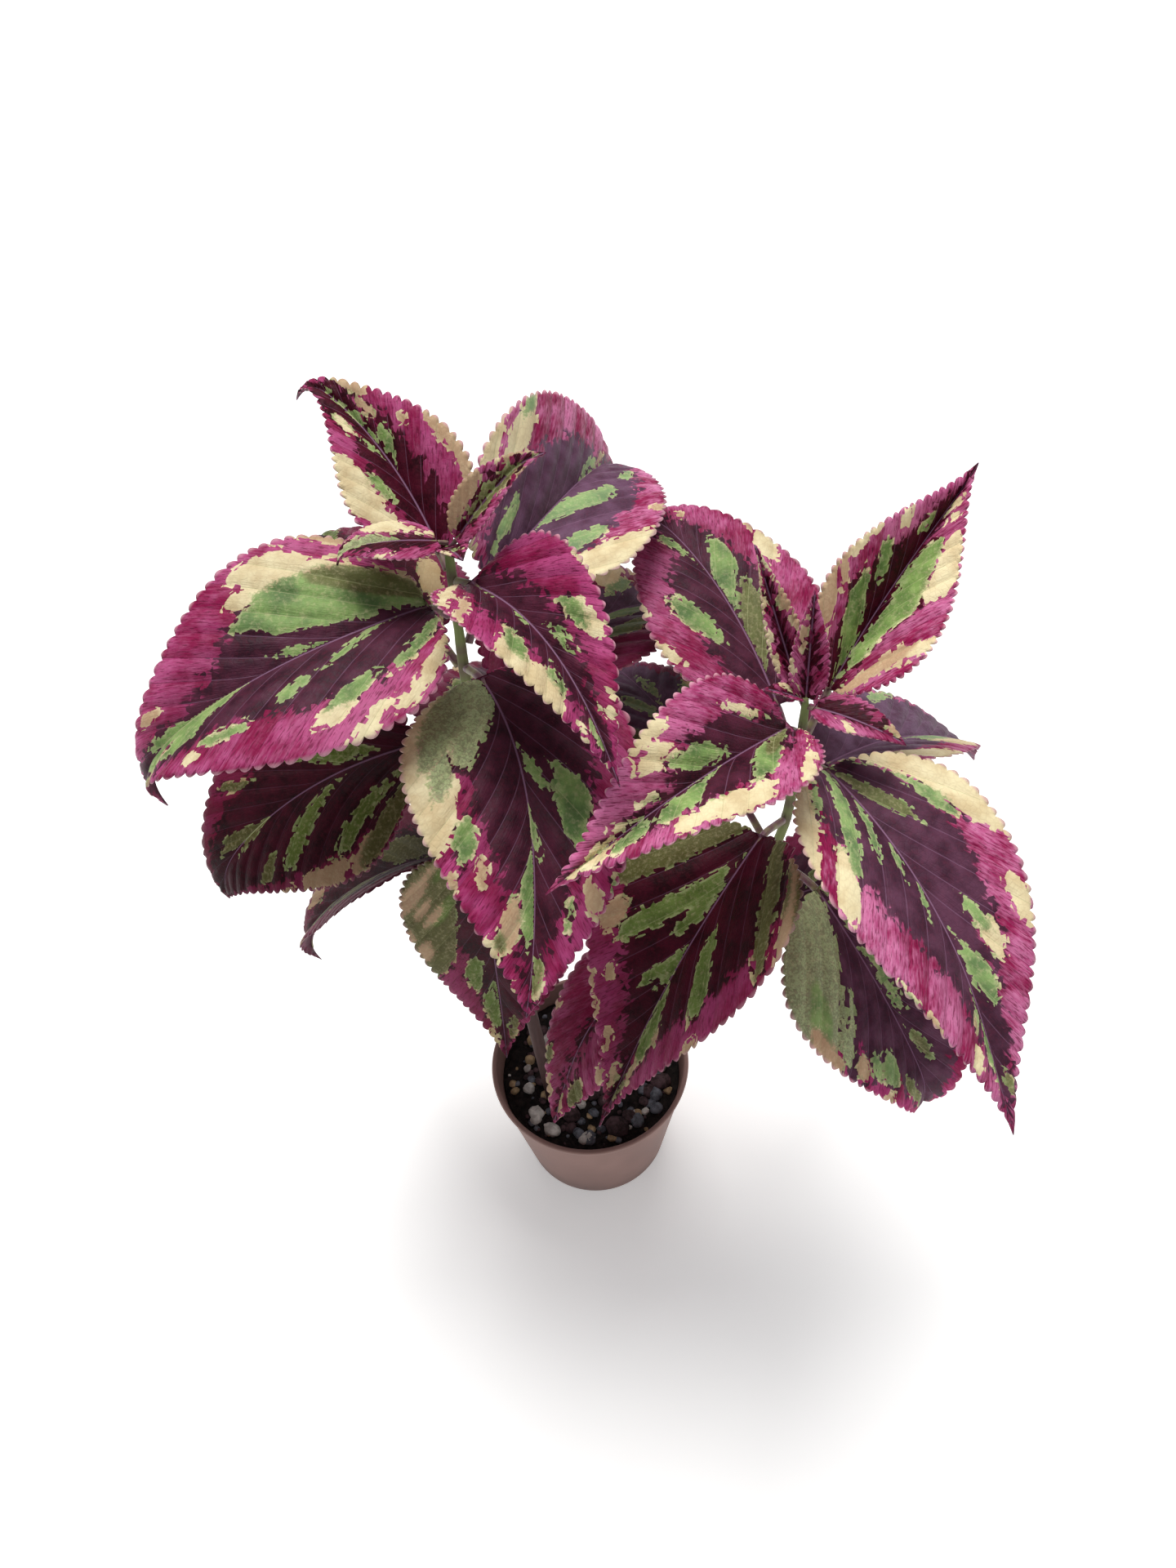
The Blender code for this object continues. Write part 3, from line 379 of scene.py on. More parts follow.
def leaf_material():
    """The blade's patches with their rough edges, its ripples, creases, veins and rim, with painted shade
    in the creases and on leaves in shade, and painted sheen highlights.
    """
    s = Shader("leaf_variegated")
    place, outward, along = s.split(s.attribute("leaf_pos"))
    bare, green_part, tan = s.split(s.attribute("leaf_mask"))
    vein, reach, under = s.split(s.attribute("leaf_more"))
    tone, slate, seed = s.split(s.attribute("leaf_tone_shade_and_sheen"))
    mottle, pebble, pink = s.split(s.attribute("leaf_relief"))
    flat = s.vector(along, outward, seed)
    # How lit the leaf is, from its tone. Below, it lays painted shade on leaves in shade: darker, warmer
    # magenta, green and cream, and fainter pink highlights, veins and pale rim
    lit = s.step(tone, 0.6, 1.2)

    def streaks(forward, aside, detail, roughness, depth=seed):
        """A noise drawn out along the side veins."""
        stretched = s.vector(s.times(place, forward), s.times(outward, aside), depth)
        return s.noise(stretched, 1.0, detail, roughness)

    cell = s.split(s.add("TexVoronoi", Scale=0.6, Vector=flat).outputs["Color"])
    bare_streak = streaks(0.8, 0.35, 2.0, 0.6)
    green_streak = streaks(0.5, 0.2, 3.0, 0.6, s.total(seed, 50.0))
    ripple = streaks(0.85, 0.45, 3.0, 0.55)
    crisp = streaks(1.5, 0.6, 2.0, 0.5)
    field, half = s.times(s.math("FLOOR", vein), 0.73), s.times(s.math("SIGN", outward), 3.3)
    band = s.noise(s.vector(field, half, seed), 1.0, 1.0)
    wide = s.noise(flat, 0.16)
    cloud = s.step(wide, 0.3, 0.7)
    fine = s.noise(flat, 0.9, 3.0, 0.65)
    speck = s.noise(flat, 1.7, 3.0, 0.7)

    bare_edge = s.total(s.swing(cell[0], 2.2), s.swing(bare_streak, 1.4), s.swing(speck, 0.36), bare)
    spotted = s.step(s.line(cell[2], 0.16, speck), 0.5, 0.66, 0.0, 0.4)
    bare_mask = s.times(s.step(bare_edge, -0.1, 0.1), s.math("SUBTRACT", 1.0, s.times(mottle, spotted)))
    green_edge = s.total(s.swing(cell[1], 3.4), s.swing(green_streak, 8.0), green_part)
    dark_mask = s.step(green_edge, -0.6, 0.6)
    leafy_mask = s.step(s.total(green_part, s.swing(fine, 6.0)), -1.0, 1.0)

    purple = s.over(s.between(cloud, "26040e", "480b21"), (s.step(fine, 0.4, 0.75, 0.0, 0.6), "540c22"))
    # The slate share lays a painted sheen, a painted reflection of the light, over the purple, and over the
    # green below
    purple = s.mix(slate, purple, s.between(cloud, "604058", "7f6380"))
    magenta = s.between(s.step(s.line(band, 0.5, s.times(wide, 0.5)), 0.4, 0.6), "8a1548", "a93370")
    # Pink highlights are painted sheen highlights, stronger towards the margin and on lit leaves, by the
    # leaf's pink share
    painted_pink_highlights = s.step(s.line(ripple, 0.5, s.line(band, 0.4, s.times(wide, 0.4))), 0.5, 0.8)
    painted_pink_highlights = s.times(painted_pink_highlights, s.line(reach, 0.65, 0.35), s.times(pink, s.step(lit, 0.0, 0.8, 0.45, 1.0)))
    # Over the magenta: a deeper wine towards the dark centre, the painted pink highlights, painted shadow
    # in the crisp ripples and painted shade on leaves in shade
    magenta = s.over(magenta, (s.step(reach, 0.35, 0.75, 0.5, 0.0), "6a0d32"), (painted_pink_highlights, "d386ae"),
                     (s.step(crisp, 0.36, 0.46, 0.65, 0.0), "620b30"),
                     (s.step(lit, 0.0, 0.7, 0.6, 0.0), "641029"))
    # Green gets painted shade on leaves in shade, then its sage mottle, painted slate sheen, a paler edge
    # at the bare patches and tan; cream gets painted shade on leaves in shade and tan
    green = s.over(s.between(cloud, "4f6b37", "86a45c"), (s.step(lit, 0.0, 0.9, 0.85, 0.0), "5a6822"),
                   (s.times(mottle, 0.8), "aeb88a"), (s.times(slate, 0.55), "a3bf98"),
                   (s.step(bare_edge, 0.1, 1.4, 0.5, 0.0), "b4c08a"), (s.times(tan, 0.7), "5f5233"))
    cream = s.over(s.between(cloud, "cfbb92", "e6dab2"), (s.step(lit, 0.0, 0.8, 0.6, 0.0), "c4a06f"),
                   (s.times(tan, 0.8), "b08c70"))
    bare_colour = s.over(s.mix(leafy_mask, cream, green), (s.step(fine, 0.45, 0.8, 0.0, 0.35), "dccfa6"))
    colour = s.mix(bare_mask, s.mix(dark_mask, magenta, purple), bare_colour)

    net = s.add("TexVoronoi", {"feature": "DISTANCE_TO_EDGE"}, Scale=0.62, Vector=flat)
    net_depth = s.step(net.outputs["Distance"], 0.0, 0.16)
    # Painted shade darkens the fine vein net and the dips between the pebbles
    painted_crease_shade = s.math("SUBTRACT", 1.0, s.times(net_depth, s.step(pebble, 0.0, 0.5, 0.5, 1.0)))
    colour = s.mix(s.times(painted_crease_shade, 0.1), colour, s.mix(1.0, colour, rgb("9a7468"), "MULTIPLY"))

    phase = s.math("FRACT", s.total(vein, 0.5))
    from_vein = s.math("ABSOLUTE", s.math("SUBTRACT", phase, 0.5))
    lateral = s.step(s.math("DIVIDE", from_vein, s.line(reach, -0.026, 0.042)), 0.2, 1.0, 0.42, 0.0)
    midrib = s.math("DIVIDE", s.math("ABSOLUTE", outward), s.line(place, -0.0035, 0.45))
    veins = s.math("MAXIMUM", s.times(lateral, s.line(lit, 0.6, 0.4)), s.step(midrib, 0.4, 1.0, 0.85, 0.0))
    colour = s.mix(veins, colour, s.over(s.between(dark_mask, "6a1a40", "8a6682"), (bare_mask, "b4b888")))

    rim = s.times(s.step(reach, 0.945, 1.0, 0.0, 0.8), s.step(lit, 0.0, 1.0, 0.4, 1.0))
    # Multiplied by the leaf's tone: darker for older leaves, painted shade on leaves in shade and painted
    # light on leaves in the open
    colour = s.mix(1.0, s.over(colour, (rim, "d3a3ae")), s.vector(tone, tone, tone), "MULTIPLY")
    colour = s.mix(under, colour, s.over(colour, (0.45, "7f5566")))

    height = s.total(s.times(net_depth, 0.12), s.line(ripple, 0.4, s.times(crisp, 0.7)))
    height = s.math("SUBTRACT", height, s.times(veins, 0.5))
    return s.finish(colour, height, 0.0003, 0.7, Roughness=s.step(fine, 0.2, 0.8, 0.42, 0.6),
                    Specular_IOR_Level=0.12)


def stalk_material():
    s = Shader("leaf_stalk")
    place = s.position()
    colour = s.between(s.step(s.noise(place, 260.0, 3.0), 0.35, 0.7), "6d4254", "8d8a5f")
    return s.finish(colour, s.noise(place, 1500.0), 0.0001, 0.4, Roughness=0.5, Sheen_Weight=0.15)


def stem_material():
    s = Shader("stem_skin")
    woody, node, _ = s.split(s.attribute("stem_more"))
    place = s.position()
    x, y, z = s.split(place)
    streaks = s.noise(s.vector(s.times(x, 900.0), s.times(y, 900.0), s.times(z, 60.0)), 1.0, 4.0, 0.6)
    age = s.line(woody, 1.9, s.swing(s.noise(place, 120.0, 3.0), 0.5))
    colour = s.mix(age, s.between(streaks, "66763e", "8e9c63"), s.between(streaks, "2f1d1b", "573d3b"))
    colour = s.over(colour, (s.times(node, 0.6), "5b3347"))
    return s.finish(colour, streaks, 0.0002, 0.5, Roughness=0.6, Specular_IOR_Level=0.25)


def soil_material():
    s = Shader("soil_mix")
    lumps = s.noise(s.position(), 420.0, 5.0, 0.7)
    colour = s.between(s.step(lumps, 0.35, 0.75), "0d0b0a", "2f2724")
    return s.finish(colour, lumps, 0.0008, 0.8, Roughness=0.9, Specular_IOR_Level=0.25)


def grain_material(name, dark, light, roughness):
    s = Shader(name)
    place = s.position()
    colour = s.between(s.step(s.noise(place, 380.0, 4.0, 0.65), 0.3, 0.7), dark, light)
    return s.finish(colour, s.noise(place, 2500.0), 0.0002, 0.6, Roughness=roughness,
                    Specular_IOR_Level=0.3)


def pot_material():
    """Dull plastic, darker towards its foot."""
    s = Shader("pot_plastic")
    place = s.position()
    cloud = s.noise(place, 45.0, 3.0)
    # Darker in the last 12 mm above the floor
    darker_foot = s.step(s.total(s.split(place)[2], s.swing(cloud, 0.02)), 0.0, 0.012, 0.35, 0.0)
    colour = s.over(s.between(s.step(cloud, 0.3, 0.75), "8b6a62", "9d7c74"), (darker_foot, "6e5550"))
    return s.finish(colour, s.noise(place, 1800.0), 0.00006, 0.35,
                    Roughness=s.step(cloud, 0.3, 0.7, 0.5, 0.62), Specular_IOR_Level=0.4)


def floor_material():
    s = Shader("floor_paper")
    colour = s.mix(s.noise(s.position(), 6.0), (0.95, 0.95, 0.95), (0.97, 0.97, 0.97))
    return s.finish(colour, Roughness=0.8, Specular_IOR_Level=0.2, Emission_Color=(1.0, 1.0, 1.0),
                    Emission_Strength=FLOOR_GLOW)


# Stems and leaf lines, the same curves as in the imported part

def stem_centre(stem, height):
    """A smooth curve through the points of the stem's path, read at a height."""
    path = np.array(stem.path, float) * MM
    index = min(max(int(np.searchsorted(path[:, 2], height, side="right")) - 1, 0), len(path) - 2)

    def slope(i):
        before = path[max(i - 1, 0)]
        after = path[min(i + 1, len(path) - 1)]
        return (after - before) / (after[2] - before[2])

    low, high = path[index], path[index + 1]
    span = high[2] - low[2]
    t = (height - low[2]) / span
    return (low * (2 * t ** 3 - 3 * t ** 2 + 1) + slope(index) * span * (t ** 3 - 2 * t ** 2 + t)
            + high * (3 * t ** 2 - 2 * t ** 3) + slope(index + 1) * span * (t ** 3 - t ** 2))


def parse_leaves(text):
    leaves = []
    for block in text.split("=")[1:]:
        heading, entries = block.strip().split("\n", 1)
        name, stem, *shape = heading.split()
        edges, patches = {}, []
        for entry in entries.split(";"):
            (kind, side), *numbers = entry.split()
            numbers = [float(number) for number in numbers]
            if kind == "E":
                edges[side] = (numbers[0::2], numbers[1::2])
            else:
                patches.append((kind, side, *numbers))
        leaves.append(Leaf(name, stem, *(float(number) for number in shape), edges, patches))
    return leaves


LEAVES = parse_leaves(GROWN)
YOUNG_LEAVES = parse_leaves(YOUNG)


def nearest_node(name, height):
    return min(abs(height - leaf.height * MM) for leaf in LEAVES if leaf.stem == name)


def stem_radius(name, height):
    stem = STEMS[name]
    top = stem.path[-1][2] * MM
    share = min(max((height - SOIL_TOP) / (top - SOIL_TOP), 0.0), 1.0)
    radius = stem.base_radius + (stem.tip_radius - stem.base_radius) * share ** 0.8
    return radius * (1 + (NODE_SWELLING - 1) * math.exp(-(nearest_node(name, height) / (4 * MM)) ** 2))


def smooth(x):
    x = np.clip(x, 0.0, 1.0)
    return x * x * (3 - 2 * x)


def half_width(leaf, share):
    """Half of the blade's width at shares of its length, in metres."""
    share = np.asarray(share, float)
    inside = np.clip(share, 1e-9, 1 - 1e-9)
    widest = BASE_SWELL / (BASE_SWELL + leaf.taper)
    width = (leaf.width * MM / 2 * (inside / widest) ** BASE_SWELL
             * ((1 - inside) / (1 - widest)) ** leaf.taper)
    return np.where((share > 0) & (share < 1), width, 0.0)


class LeafLine:
    """The line of a leaf from the stem to its tip, and the middle surface of its blade."""

    def __init__(self, leaf, rooted):
        self.leaf = leaf
        self.length = leaf.length * MM
        self.stalk = leaf.stalk * MM
        height = leaf.height * MM
        stem = STEMS[leaf.stem]
        root = stem_centre(stem, height)
        if not rooted:
            axis = stem_centre(stem, height + MM) - stem_centre(stem, height - MM)
            axis /= np.linalg.norm(axis)
            stalk = self.direction(np.array([-1.0]))[0]
            tilt = stalk @ axis
            outward = stalk - axis * tilt
            outward /= np.linalg.norm(outward)
            root = root + outward * (stem_radius(leaf.stem, height) + GAP + STALK_RADIUS * abs(tilt))
        self.step = (self.length + self.stalk) / MIDRIB_STEPS
        middles = -self.stalk + (np.arange(MIDRIB_STEPS) + 0.5) * self.step
        steps = np.cumsum(self.bent_direction(middles) * self.step, axis=0)
        self.points = np.vstack([root, root + steps])

    def direction(self, along):
        leaf = self.leaf
        share = np.clip(along / self.length, 0.0, None)
        pitch = leaf.pitch_base + (leaf.pitch_end - leaf.pitch_base) * share ** 1.3
        pitch = pitch + leaf.tip_curl * smooth((share - 0.72) / 0.28)
        stalk = along < 0
        pitch = np.radians(np.where(stalk, leaf.stalk_rise, pitch))
        heading = np.radians(np.where(stalk, leaf.heading, leaf.heading + leaf.turn * share))
        return np.stack([np.cos(heading) * np.cos(pitch), np.sin(heading) * np.cos(pitch),
                         np.sin(pitch)], -1)

    def bent_direction(self, along):
        """The direction with the bend between the stalk and the blade eased."""
        reach = min(3 * MM, self.stalk)
        total = (self.direction(np.minimum(along + reach, self.length))
                 + self.direction(along - reach) + self.direction(along))
        return total / np.linalg.norm(total, axis=-1, keepdims=True)

    def centre(self, along):
        place = (along + self.stalk) / self.step
        index = np.clip(place.astype(int), 0, len(self.points) - 2)
        part = (place - index)[..., None]
        return self.points[index] * (1 - part) + self.points[index + 1] * part

    def surface(self, along, across):
        """Points at a distance from the blade's base and out from its midrib, left being above zero."""
        leaf = self.leaf
        heading = np.radians(leaf.heading + leaf.turn * np.clip(along / self.length, 0.0, None))
        left = np.stack([-np.sin(heading), np.cos(heading), np.zeros_like(heading)], -1)
        up = np.cross(self.bent_direction(along), left)
        up /= np.linalg.norm(up, axis=-1, keepdims=True)
        roll = (math.radians(leaf.roll) * smooth(1 + along / (8 * MM)))[..., None]
        left, up = left * np.cos(roll) + up * np.sin(roll), up * np.cos(roll) - left * np.sin(roll)
        fold = np.where(along > 0, math.radians(leaf.fold), 0.0)
        arch = math.radians(leaf.arch) or 0.001
        reach = leaf.width * MM / 2
        turn = fold - arch * np.abs(across) / reach
        out = (np.sin(fold) - np.sin(turn)) / arch * reach
        rise = (np.cos(turn) - np.cos(fold)) / arch * reach
        return self.centre(along) + left * (np.sign(across) * out)[..., None] + up * rise[..., None]

    def normal(self, along, across):
        small = 0.2 * MM
        side = np.where(across >= 0, 1.0, -1.0)
        ahead = self.surface(along + small, across) - self.surface(along - small, across)
        aside = self.surface(along, across + side * small) - self.surface(along, across)
        cross = np.cross(ahead, aside) * side[..., None]
        return cross / np.linalg.norm(cross, axis=-1, keepdims=True)


# Markings as signed distances in mm

def vein_place(leaf, share, across):
    """Where the side vein at a point leaves the midrib, in percent of the blade's length."""
    half = leaf.width / 2
    forward = VEIN_SWEEP * half * (np.abs(across) / MM / half) ** VEIN_BEND
    return 100 * (share - forward / leaf.length)


def leaf_masks(leaf, along, across):
    """Signed distances, in mm, into the bare patches and the green part, then shares of tan and spots.

    The green part is green where the leaf is bare and purple elsewhere. The rest is cream or magenta.
    """
    share = along / (leaf.length * MM)
    half = np.maximum(half_width(leaf, share) / MM, 0.5)
    reach = np.abs(across) / MM / half
    place = vein_place(leaf, share, across)
    green = np.empty_like(along)
    for side, mask in (("L", across >= 0), ("R", across < 0)):
        places, reaches = leaf.edges[side]
        green[mask] = ((np.interp(place, places, reaches) / 100 - reach) * half)[mask]
    bare = np.full_like(along, -FURTHEST)
    tan = np.zeros_like(along)
    spots = np.zeros_like(along)
    for kind, side, low, high, inner, outer in leaf.patches:
        inner /= 100
        outer /= 100
        through = np.clip((reach - inner) / (outer - inner), 0.0, 1.0)
        taper = np.ones_like(along)
        if inner > 0.06:
            taper = np.minimum(taper, 0.55 + 1.8 * through)
        if outer < 0.97:
            taper = np.minimum(taper, 0.55 + 1.8 * (1 - through))
        depth = ((high - low) / 2 * taper - np.abs(place - (high + low) / 2)) * leaf.length / 100 * 0.7
        if inner > 0.005:
            depth = np.minimum(depth, (reach - inner) * half)
        if outer < 0.995:
            depth = np.minimum(depth, (outer - reach) * half)
        depth[(across >= 0) != (side == "L")] = -FURTHEST
        bare = np.maximum(bare, depth) if kind in "gctos" else np.minimum(bare, -depth)
        green = np.maximum(green, depth) if kind in "gops" else np.minimum(green, -depth)
        inside = np.clip(0.5 + depth, 0.0, 1.0)
        tan = np.maximum(tan, inside) if kind in "to" else np.minimum(tan, 1 - inside)
        spots = np.maximum(spots, inside) if kind == "s" else np.minimum(spots, 1 - inside)
    return np.clip(bare, -FURTHEST, FURTHEST), np.clip(green, -FURTHEST, FURTHEST), tan, spots


# Blades

def margin(leaf, draw, size):
    """One toothed margin from base to tip as (along, across) points in metres."""
    share = np.linspace(0.0, 1.0, 700) ** 1.5
    x = share * leaf.length * MM
    y = np.maximum(half_width(leaf, share), STALK_RADIUS * 0.4)
    distance = np.concatenate([[0.0], np.cumsum(np.hypot(np.diff(x), np.diff(y)))])

    def at(place):
        return np.array([np.interp(place, distance, x), np.interp(place, distance, y)])

    start = TEETH_START
    end = distance[-1] - TEETH_END
    count = max(round((end - start) / (leaf.teeth * MM * size)), 4)
    cuts = [start + (end - start) * (i + (draw.uniform(-0.16, 0.16) if 0 < i < count else 0.0)) / count
            for i in range(count + 1)]
    points = []
    for low, high in zip(cuts, cuts[1:]):
        depth = TOOTH_DEPTH * size * draw.uniform(0.8, 1.2)
        for step in range(TOOTH_POINTS):
            phase = step / TOOTH_POINTS
            place = low + (high - low) * phase
            tangent = at(place + 0.5 * MM) - at(place - 0.5 * MM)
            tangent /= np.linalg.norm(tangent)
            normal = np.array([-tangent[1], tangent[0]])
            shape = math.sin(math.pi * phase ** 1.2) ** 0.7 if phase else 0.0
            here = at(place)
            fade = min(1.0, here[1] / (5 * MM))
            points.append(here - normal * depth * (1 - shape) * fade)
    return points


def triangles_inside(outline, spacing, leaf, depth):
    """Triangles over an outline, with a midrib line and a grid of points at a spacing."""
    length = leaf.length * MM
    spine = [(x, 0.0) for x in np.arange(spacing, length - 1.2 * MM, spacing)]
    rows = np.arange(0.6 * spacing, length - 1.5 * MM, spacing * 0.87)
    inner = []
    for index, x in enumerate(rows):
        limit = float(half_width(leaf, x / length)) - depth * 1.2 - 0.35 * spacing
        for y in np.arange((0.62 if index % 2 else 1.1) * spacing, limit, spacing):
            inner += [(x, y), (x, -y)]
    points = [Vector((p[0] / MM, p[1] / MM)) for p in list(outline) + spine + inner]
    count = len(outline)
    edges = [(count + i, count + i + 1) for i in range(len(spine) - 1)]
    verts, _, faces, origins, _, _ = delaunay_2d_cdt(points, edges, [list(range(count))], 1, 1e-6)
    flat = np.array([(v.x, v.y) for v in verts]) * MM
    faces = np.array(faces)
    used = np.unique(faces)
    renumber = np.full(len(flat), -1)
    renumber[used] = np.arange(len(used))
    ring = [0] * count
    for index, sources in enumerate(origins):
        for source in sources:
            if source < count:
                ring[source] = renumber[index]
    return flat[used], renumber[faces], ring


def pebbles(along, across, index):
    """How high each point lies on the small pebbles between the finest veins, from 0 to 1."""
    found = np.empty(len(along))
    for number, (x, y) in enumerate(zip(along, across)):
        near = noise.voronoi(Vector((x / PEBBLE, y / PEBBLE, 3.7 * index)))[0]
        found[number] = near[1] - near[0]
    return 1 - (1 - np.clip(found * 1.9, 0.0, 1.0)) ** 2


def quilt(leaf, along, across):
    """Height of the puckered surface, the count of side veins passed, their place and the reach."""
    share = along / (leaf.length * MM)
    reach = np.abs(across) / np.maximum(half_width(leaf, share), 0.5 * MM)
    place = vein_place(leaf, share, across)
    phase = (place - VEIN_FIRST + np.where(across > 0, 0.0, VEIN_STAGGER)) / VEIN_SPACING
    part = phase - np.floor(phase)
    rib = 1 - np.abs(2 * part - 1) ** 2.2
    size = min(1.0, leaf.length / 80)
    ends = smooth((reach - 0.02) / 0.25) * (1 - 0.5 * smooth((reach - 0.75) / 0.25))
    wave = np.sin(along / WAVE_LENGTH + 1.7 * (across > 0) + leaf.heading) * smooth((reach - 0.55) / 0.45)
    height = QUILT * rib * size * ends + WAVE_HEIGHT * size * wave
    groove = GROOVE_DEPTH * np.exp(-(across / GROOVE_WIDTH) ** 2)
    return height - groove, phase, place, reach


def blade_arrays(leaf, line, draw, size, index):
    """Vertices, faces and attributes of a blade with its two faces and its rim."""
    right = margin(leaf, draw, size)
    left = margin(leaf, draw, size)
    tip = [(leaf.length * MM, 0.0)]
    outline = [(x, -y) for x, y in right] + tip + [(x, y) for x, y in reversed(left)]
    verts, faces, attributes, rings = [], [], [], []
    start = 0
    for under, spacing in ((0.0, TOP_SPACING * size), (1.0, UNDER_SPACING * size)):
        flat, tris, ring = triangles_inside(outline, spacing, leaf, TOOTH_DEPTH * size)
        along, across = flat[:, 0], flat[:, 1]
        height, phase, place, reach = quilt(leaf, along, across)
        pebble = np.ones_like(along) if under else pebbles(along, across, index)
        height = height + PEBBLE_HEIGHT * size * (pebble - 1) * smooth(reach / 0.1)
        thick = THICKNESS / 2 * (1 - 0.55 * smooth((reach - 0.85) / 0.15))
        offset = height - thick if under else height + thick
        points = line.surface(along, across) + line.normal(along, across) * offset[:, None]
        bare, green, tan, spots = leaf_masks(leaf, along, across)
        side = np.full_like(reach, under)
        # The leaf's share of painted pink sheen highlights
        pink = np.full_like(reach, leaf.pink)
        where = np.stack([place * leaf.length / 100, across / MM, along / MM], -1)
        attributes.append((where, np.stack([bare, green, tan], -1), np.stack([phase, reach, side], -1),
                           np.stack([spots, pebble, pink], -1)))
        verts.append(points)
        faces += [tuple(t) for t in (tris[:, ::-1] if under else tris) + start]
        rings.append([index + start for index in ring])
        start += len(flat)
    top, bottom = rings
    for i in range(len(top)):
        j = (i + 1) % len(top)
        faces.append((bottom[i], bottom[j], top[j], top[i]))
    return np.vstack(verts), faces, [np.vstack(columns) for columns in zip(*attributes)]


def angles(count):
    return [2 * math.pi * step / count for step in range(count)]


def tube_faces(rows, sides):
    """The faces of a tube with closed ends whose points go round, row after row."""
    faces = []
    for row in range(rows - 1):
        for step in range(sides):
            a, b = row * sides + step, row * sides + (step + 1) % sides
            faces.append((a, b, b + sides, a + sides))
    faces.append(tuple(reversed(range(sides))))
    faces.append(tuple(range((rows - 1) * sides, rows * sides)))
    return faces


def stalk_arrays(line, size):
    """The stalk and the rib under the blade as one tapered tube."""
    stations = np.concatenate([np.linspace(-line.stalk, 0.0, 9)[:-1],
                               np.linspace(0.0, line.length * 0.9, 26)])
    points = []
    for along in stations:
        along = np.array([along])
        zero = np.zeros(1)
        middle = line.surface(along, zero)[0]
        forward = line.bent_direction(along)[0]
        up = line.normal(np.maximum(along, 0.5 * MM), zero + 1e-6)[0]
        up = up - forward * (up @ forward)
        up /= np.linalg.norm(up)
        side = np.cross(forward, up)
        share = max(along[0], 0.0) / line.length
        radius = STALK_RADIUS * size * (1.08 - 0.1 * (along[0] + line.stalk) / max(line.stalk, MM)
                                        if along[0] < 0 else 0.92 * (1 - share) ** 0.8 + 0.1)
        sink = float(smooth((along[0] + 2 * MM) / (8 * MM))) * (radius * 0.8 + 0.25 * MM)
        for angle in angles(STALK_SIDES):
            groove = 1 - 0.22 * max(math.sin(angle), 0.0) ** 4
            points.append(middle - up * sink
                          + (side * math.cos(angle) + up * math.sin(angle) * groove) * radius)
    return np.array(points), tube_faces(len(stations), STALK_SIDES)


def link(obj):
    bpy.context.scene.collection.objects.link(obj)
    return obj


def mesh_object(name, verts, faces, materials, indices=None):
    mesh = bpy.data.meshes.new(name)
    mesh.from_pydata([tuple(v) for v in verts], [], faces)
    for material in materials:
        mesh.materials.append(material)
    if indices is not None:
        mesh.polygons.foreach_set("material_index", indices)
    mesh.shade_smooth()
    mesh.update()
    return link(bpy.data.objects.new(name, mesh))


def write_attribute(mesh, name, values):
    layer = mesh.attributes.new(name, "FLOAT_VECTOR", "POINT")
    layer.data.foreach_set("vector", np.ascontiguousarray(values, np.float32).ravel())


def build_leaf(leaf, index, rooted, materials):
    """A leaf with its stalk. A rooted one is young and starts inside its stem."""
    size = YOUNG_SIZE if rooted else 1.0
    line = LeafLine(leaf, rooted)
    verts, faces, attributes = blade_arrays(leaf, line, random.Random(100 + index), size, index)
    tube, stalk_faces = stalk_arrays(line, size)
    count = len(verts)
    indices = [0] * len(faces) + [1] * len(stalk_faces)
    faces += [tuple(i + count for i in face) for face in stalk_faces]
    name = leaf.name if rooted else "fine_" + leaf.name
    piece = mesh_object(name, np.vstack([verts, tube]), faces, materials, indices)
    # Per leaf: its tone with painted shade and light, its painted slate sheen and a seed
    attributes.append(np.full((count, 3), (leaf.tone, leaf.slate, 17.0 * index)))
    for key, values in zip(LEAF_ATTRIBUTES, attributes):
        write_attribute(piece.data, key, np.vstack([values, np.zeros((len(tube), 3))]))
    return piece


# Stems, soil and pot

def build_stem(name, material):
    """A stem with blunt square edges, a ring above each node and a narrow tip."""
    stem = STEMS[name]
    low = SOIL_TOP - STEM_SUNK
    high = stem.path[-1][2] * MM
    stations = np.arange(low, high, STEM_SPACING)
    verts, more = [], []
    for height in stations:
        middle = stem_centre(stem, height)
        axis = stem_centre(stem, min(height + MM, high)) - stem_centre(stem, height - MM)
        axis /= np.linalg.norm(axis)
        side = np.cross(axis, (0.0, 1.0, 0.0))
        side /= np.linalg.norm(side)
        front = np.cross(side, axis)
        radius = stem_radius(name, height)
        if high - height < 3 * MM:
            radius *= 0.55 + 0.45 * (high - height) / (3 * MM)
        from_node = nearest_node(name, height)
        node = math.exp(-(from_node / (2.5 * MM)) ** 2)
        ring = 1 - 0.05 * math.exp(-((from_node - 1.2 * MM) / (0.6 * MM)) ** 2)
        woody = 1 - float(smooth((height - 70 * MM) / (80 * MM)))
        for angle in angles(STEM_SIDES):
            cos, sin = math.cos(angle), math.sin(angle)
            square = 0.9 + 0.1 * math.sin(2 * angle) ** 2 - 0.03 * math.cos(2 * angle) ** 8
            rough = 1 + 0.05 * woody * noise.noise(Vector((cos * 2, sin * 2, height * 300)))
            verts.append(middle + (side * cos + front * sin) * (radius * square * rough * ring))
            more.append((woody, node, 0.0))
    piece = mesh_object("fine_stem_" + name, verts, tube_faces(len(stations), STEM_SIDES), [material])
    write_attribute(piece.data, "stem_more", np.array(more))
    return piece


def pot_outer_radius(height):
    return POT_BASE_RADIUS + (POT_TOP_RADIUS - RIM_PROUD - POT_BASE_RADIUS) * height / POT_HEIGHT


def pot_inner_radius(height):
    return pot_outer_radius(height) - POT_WALL


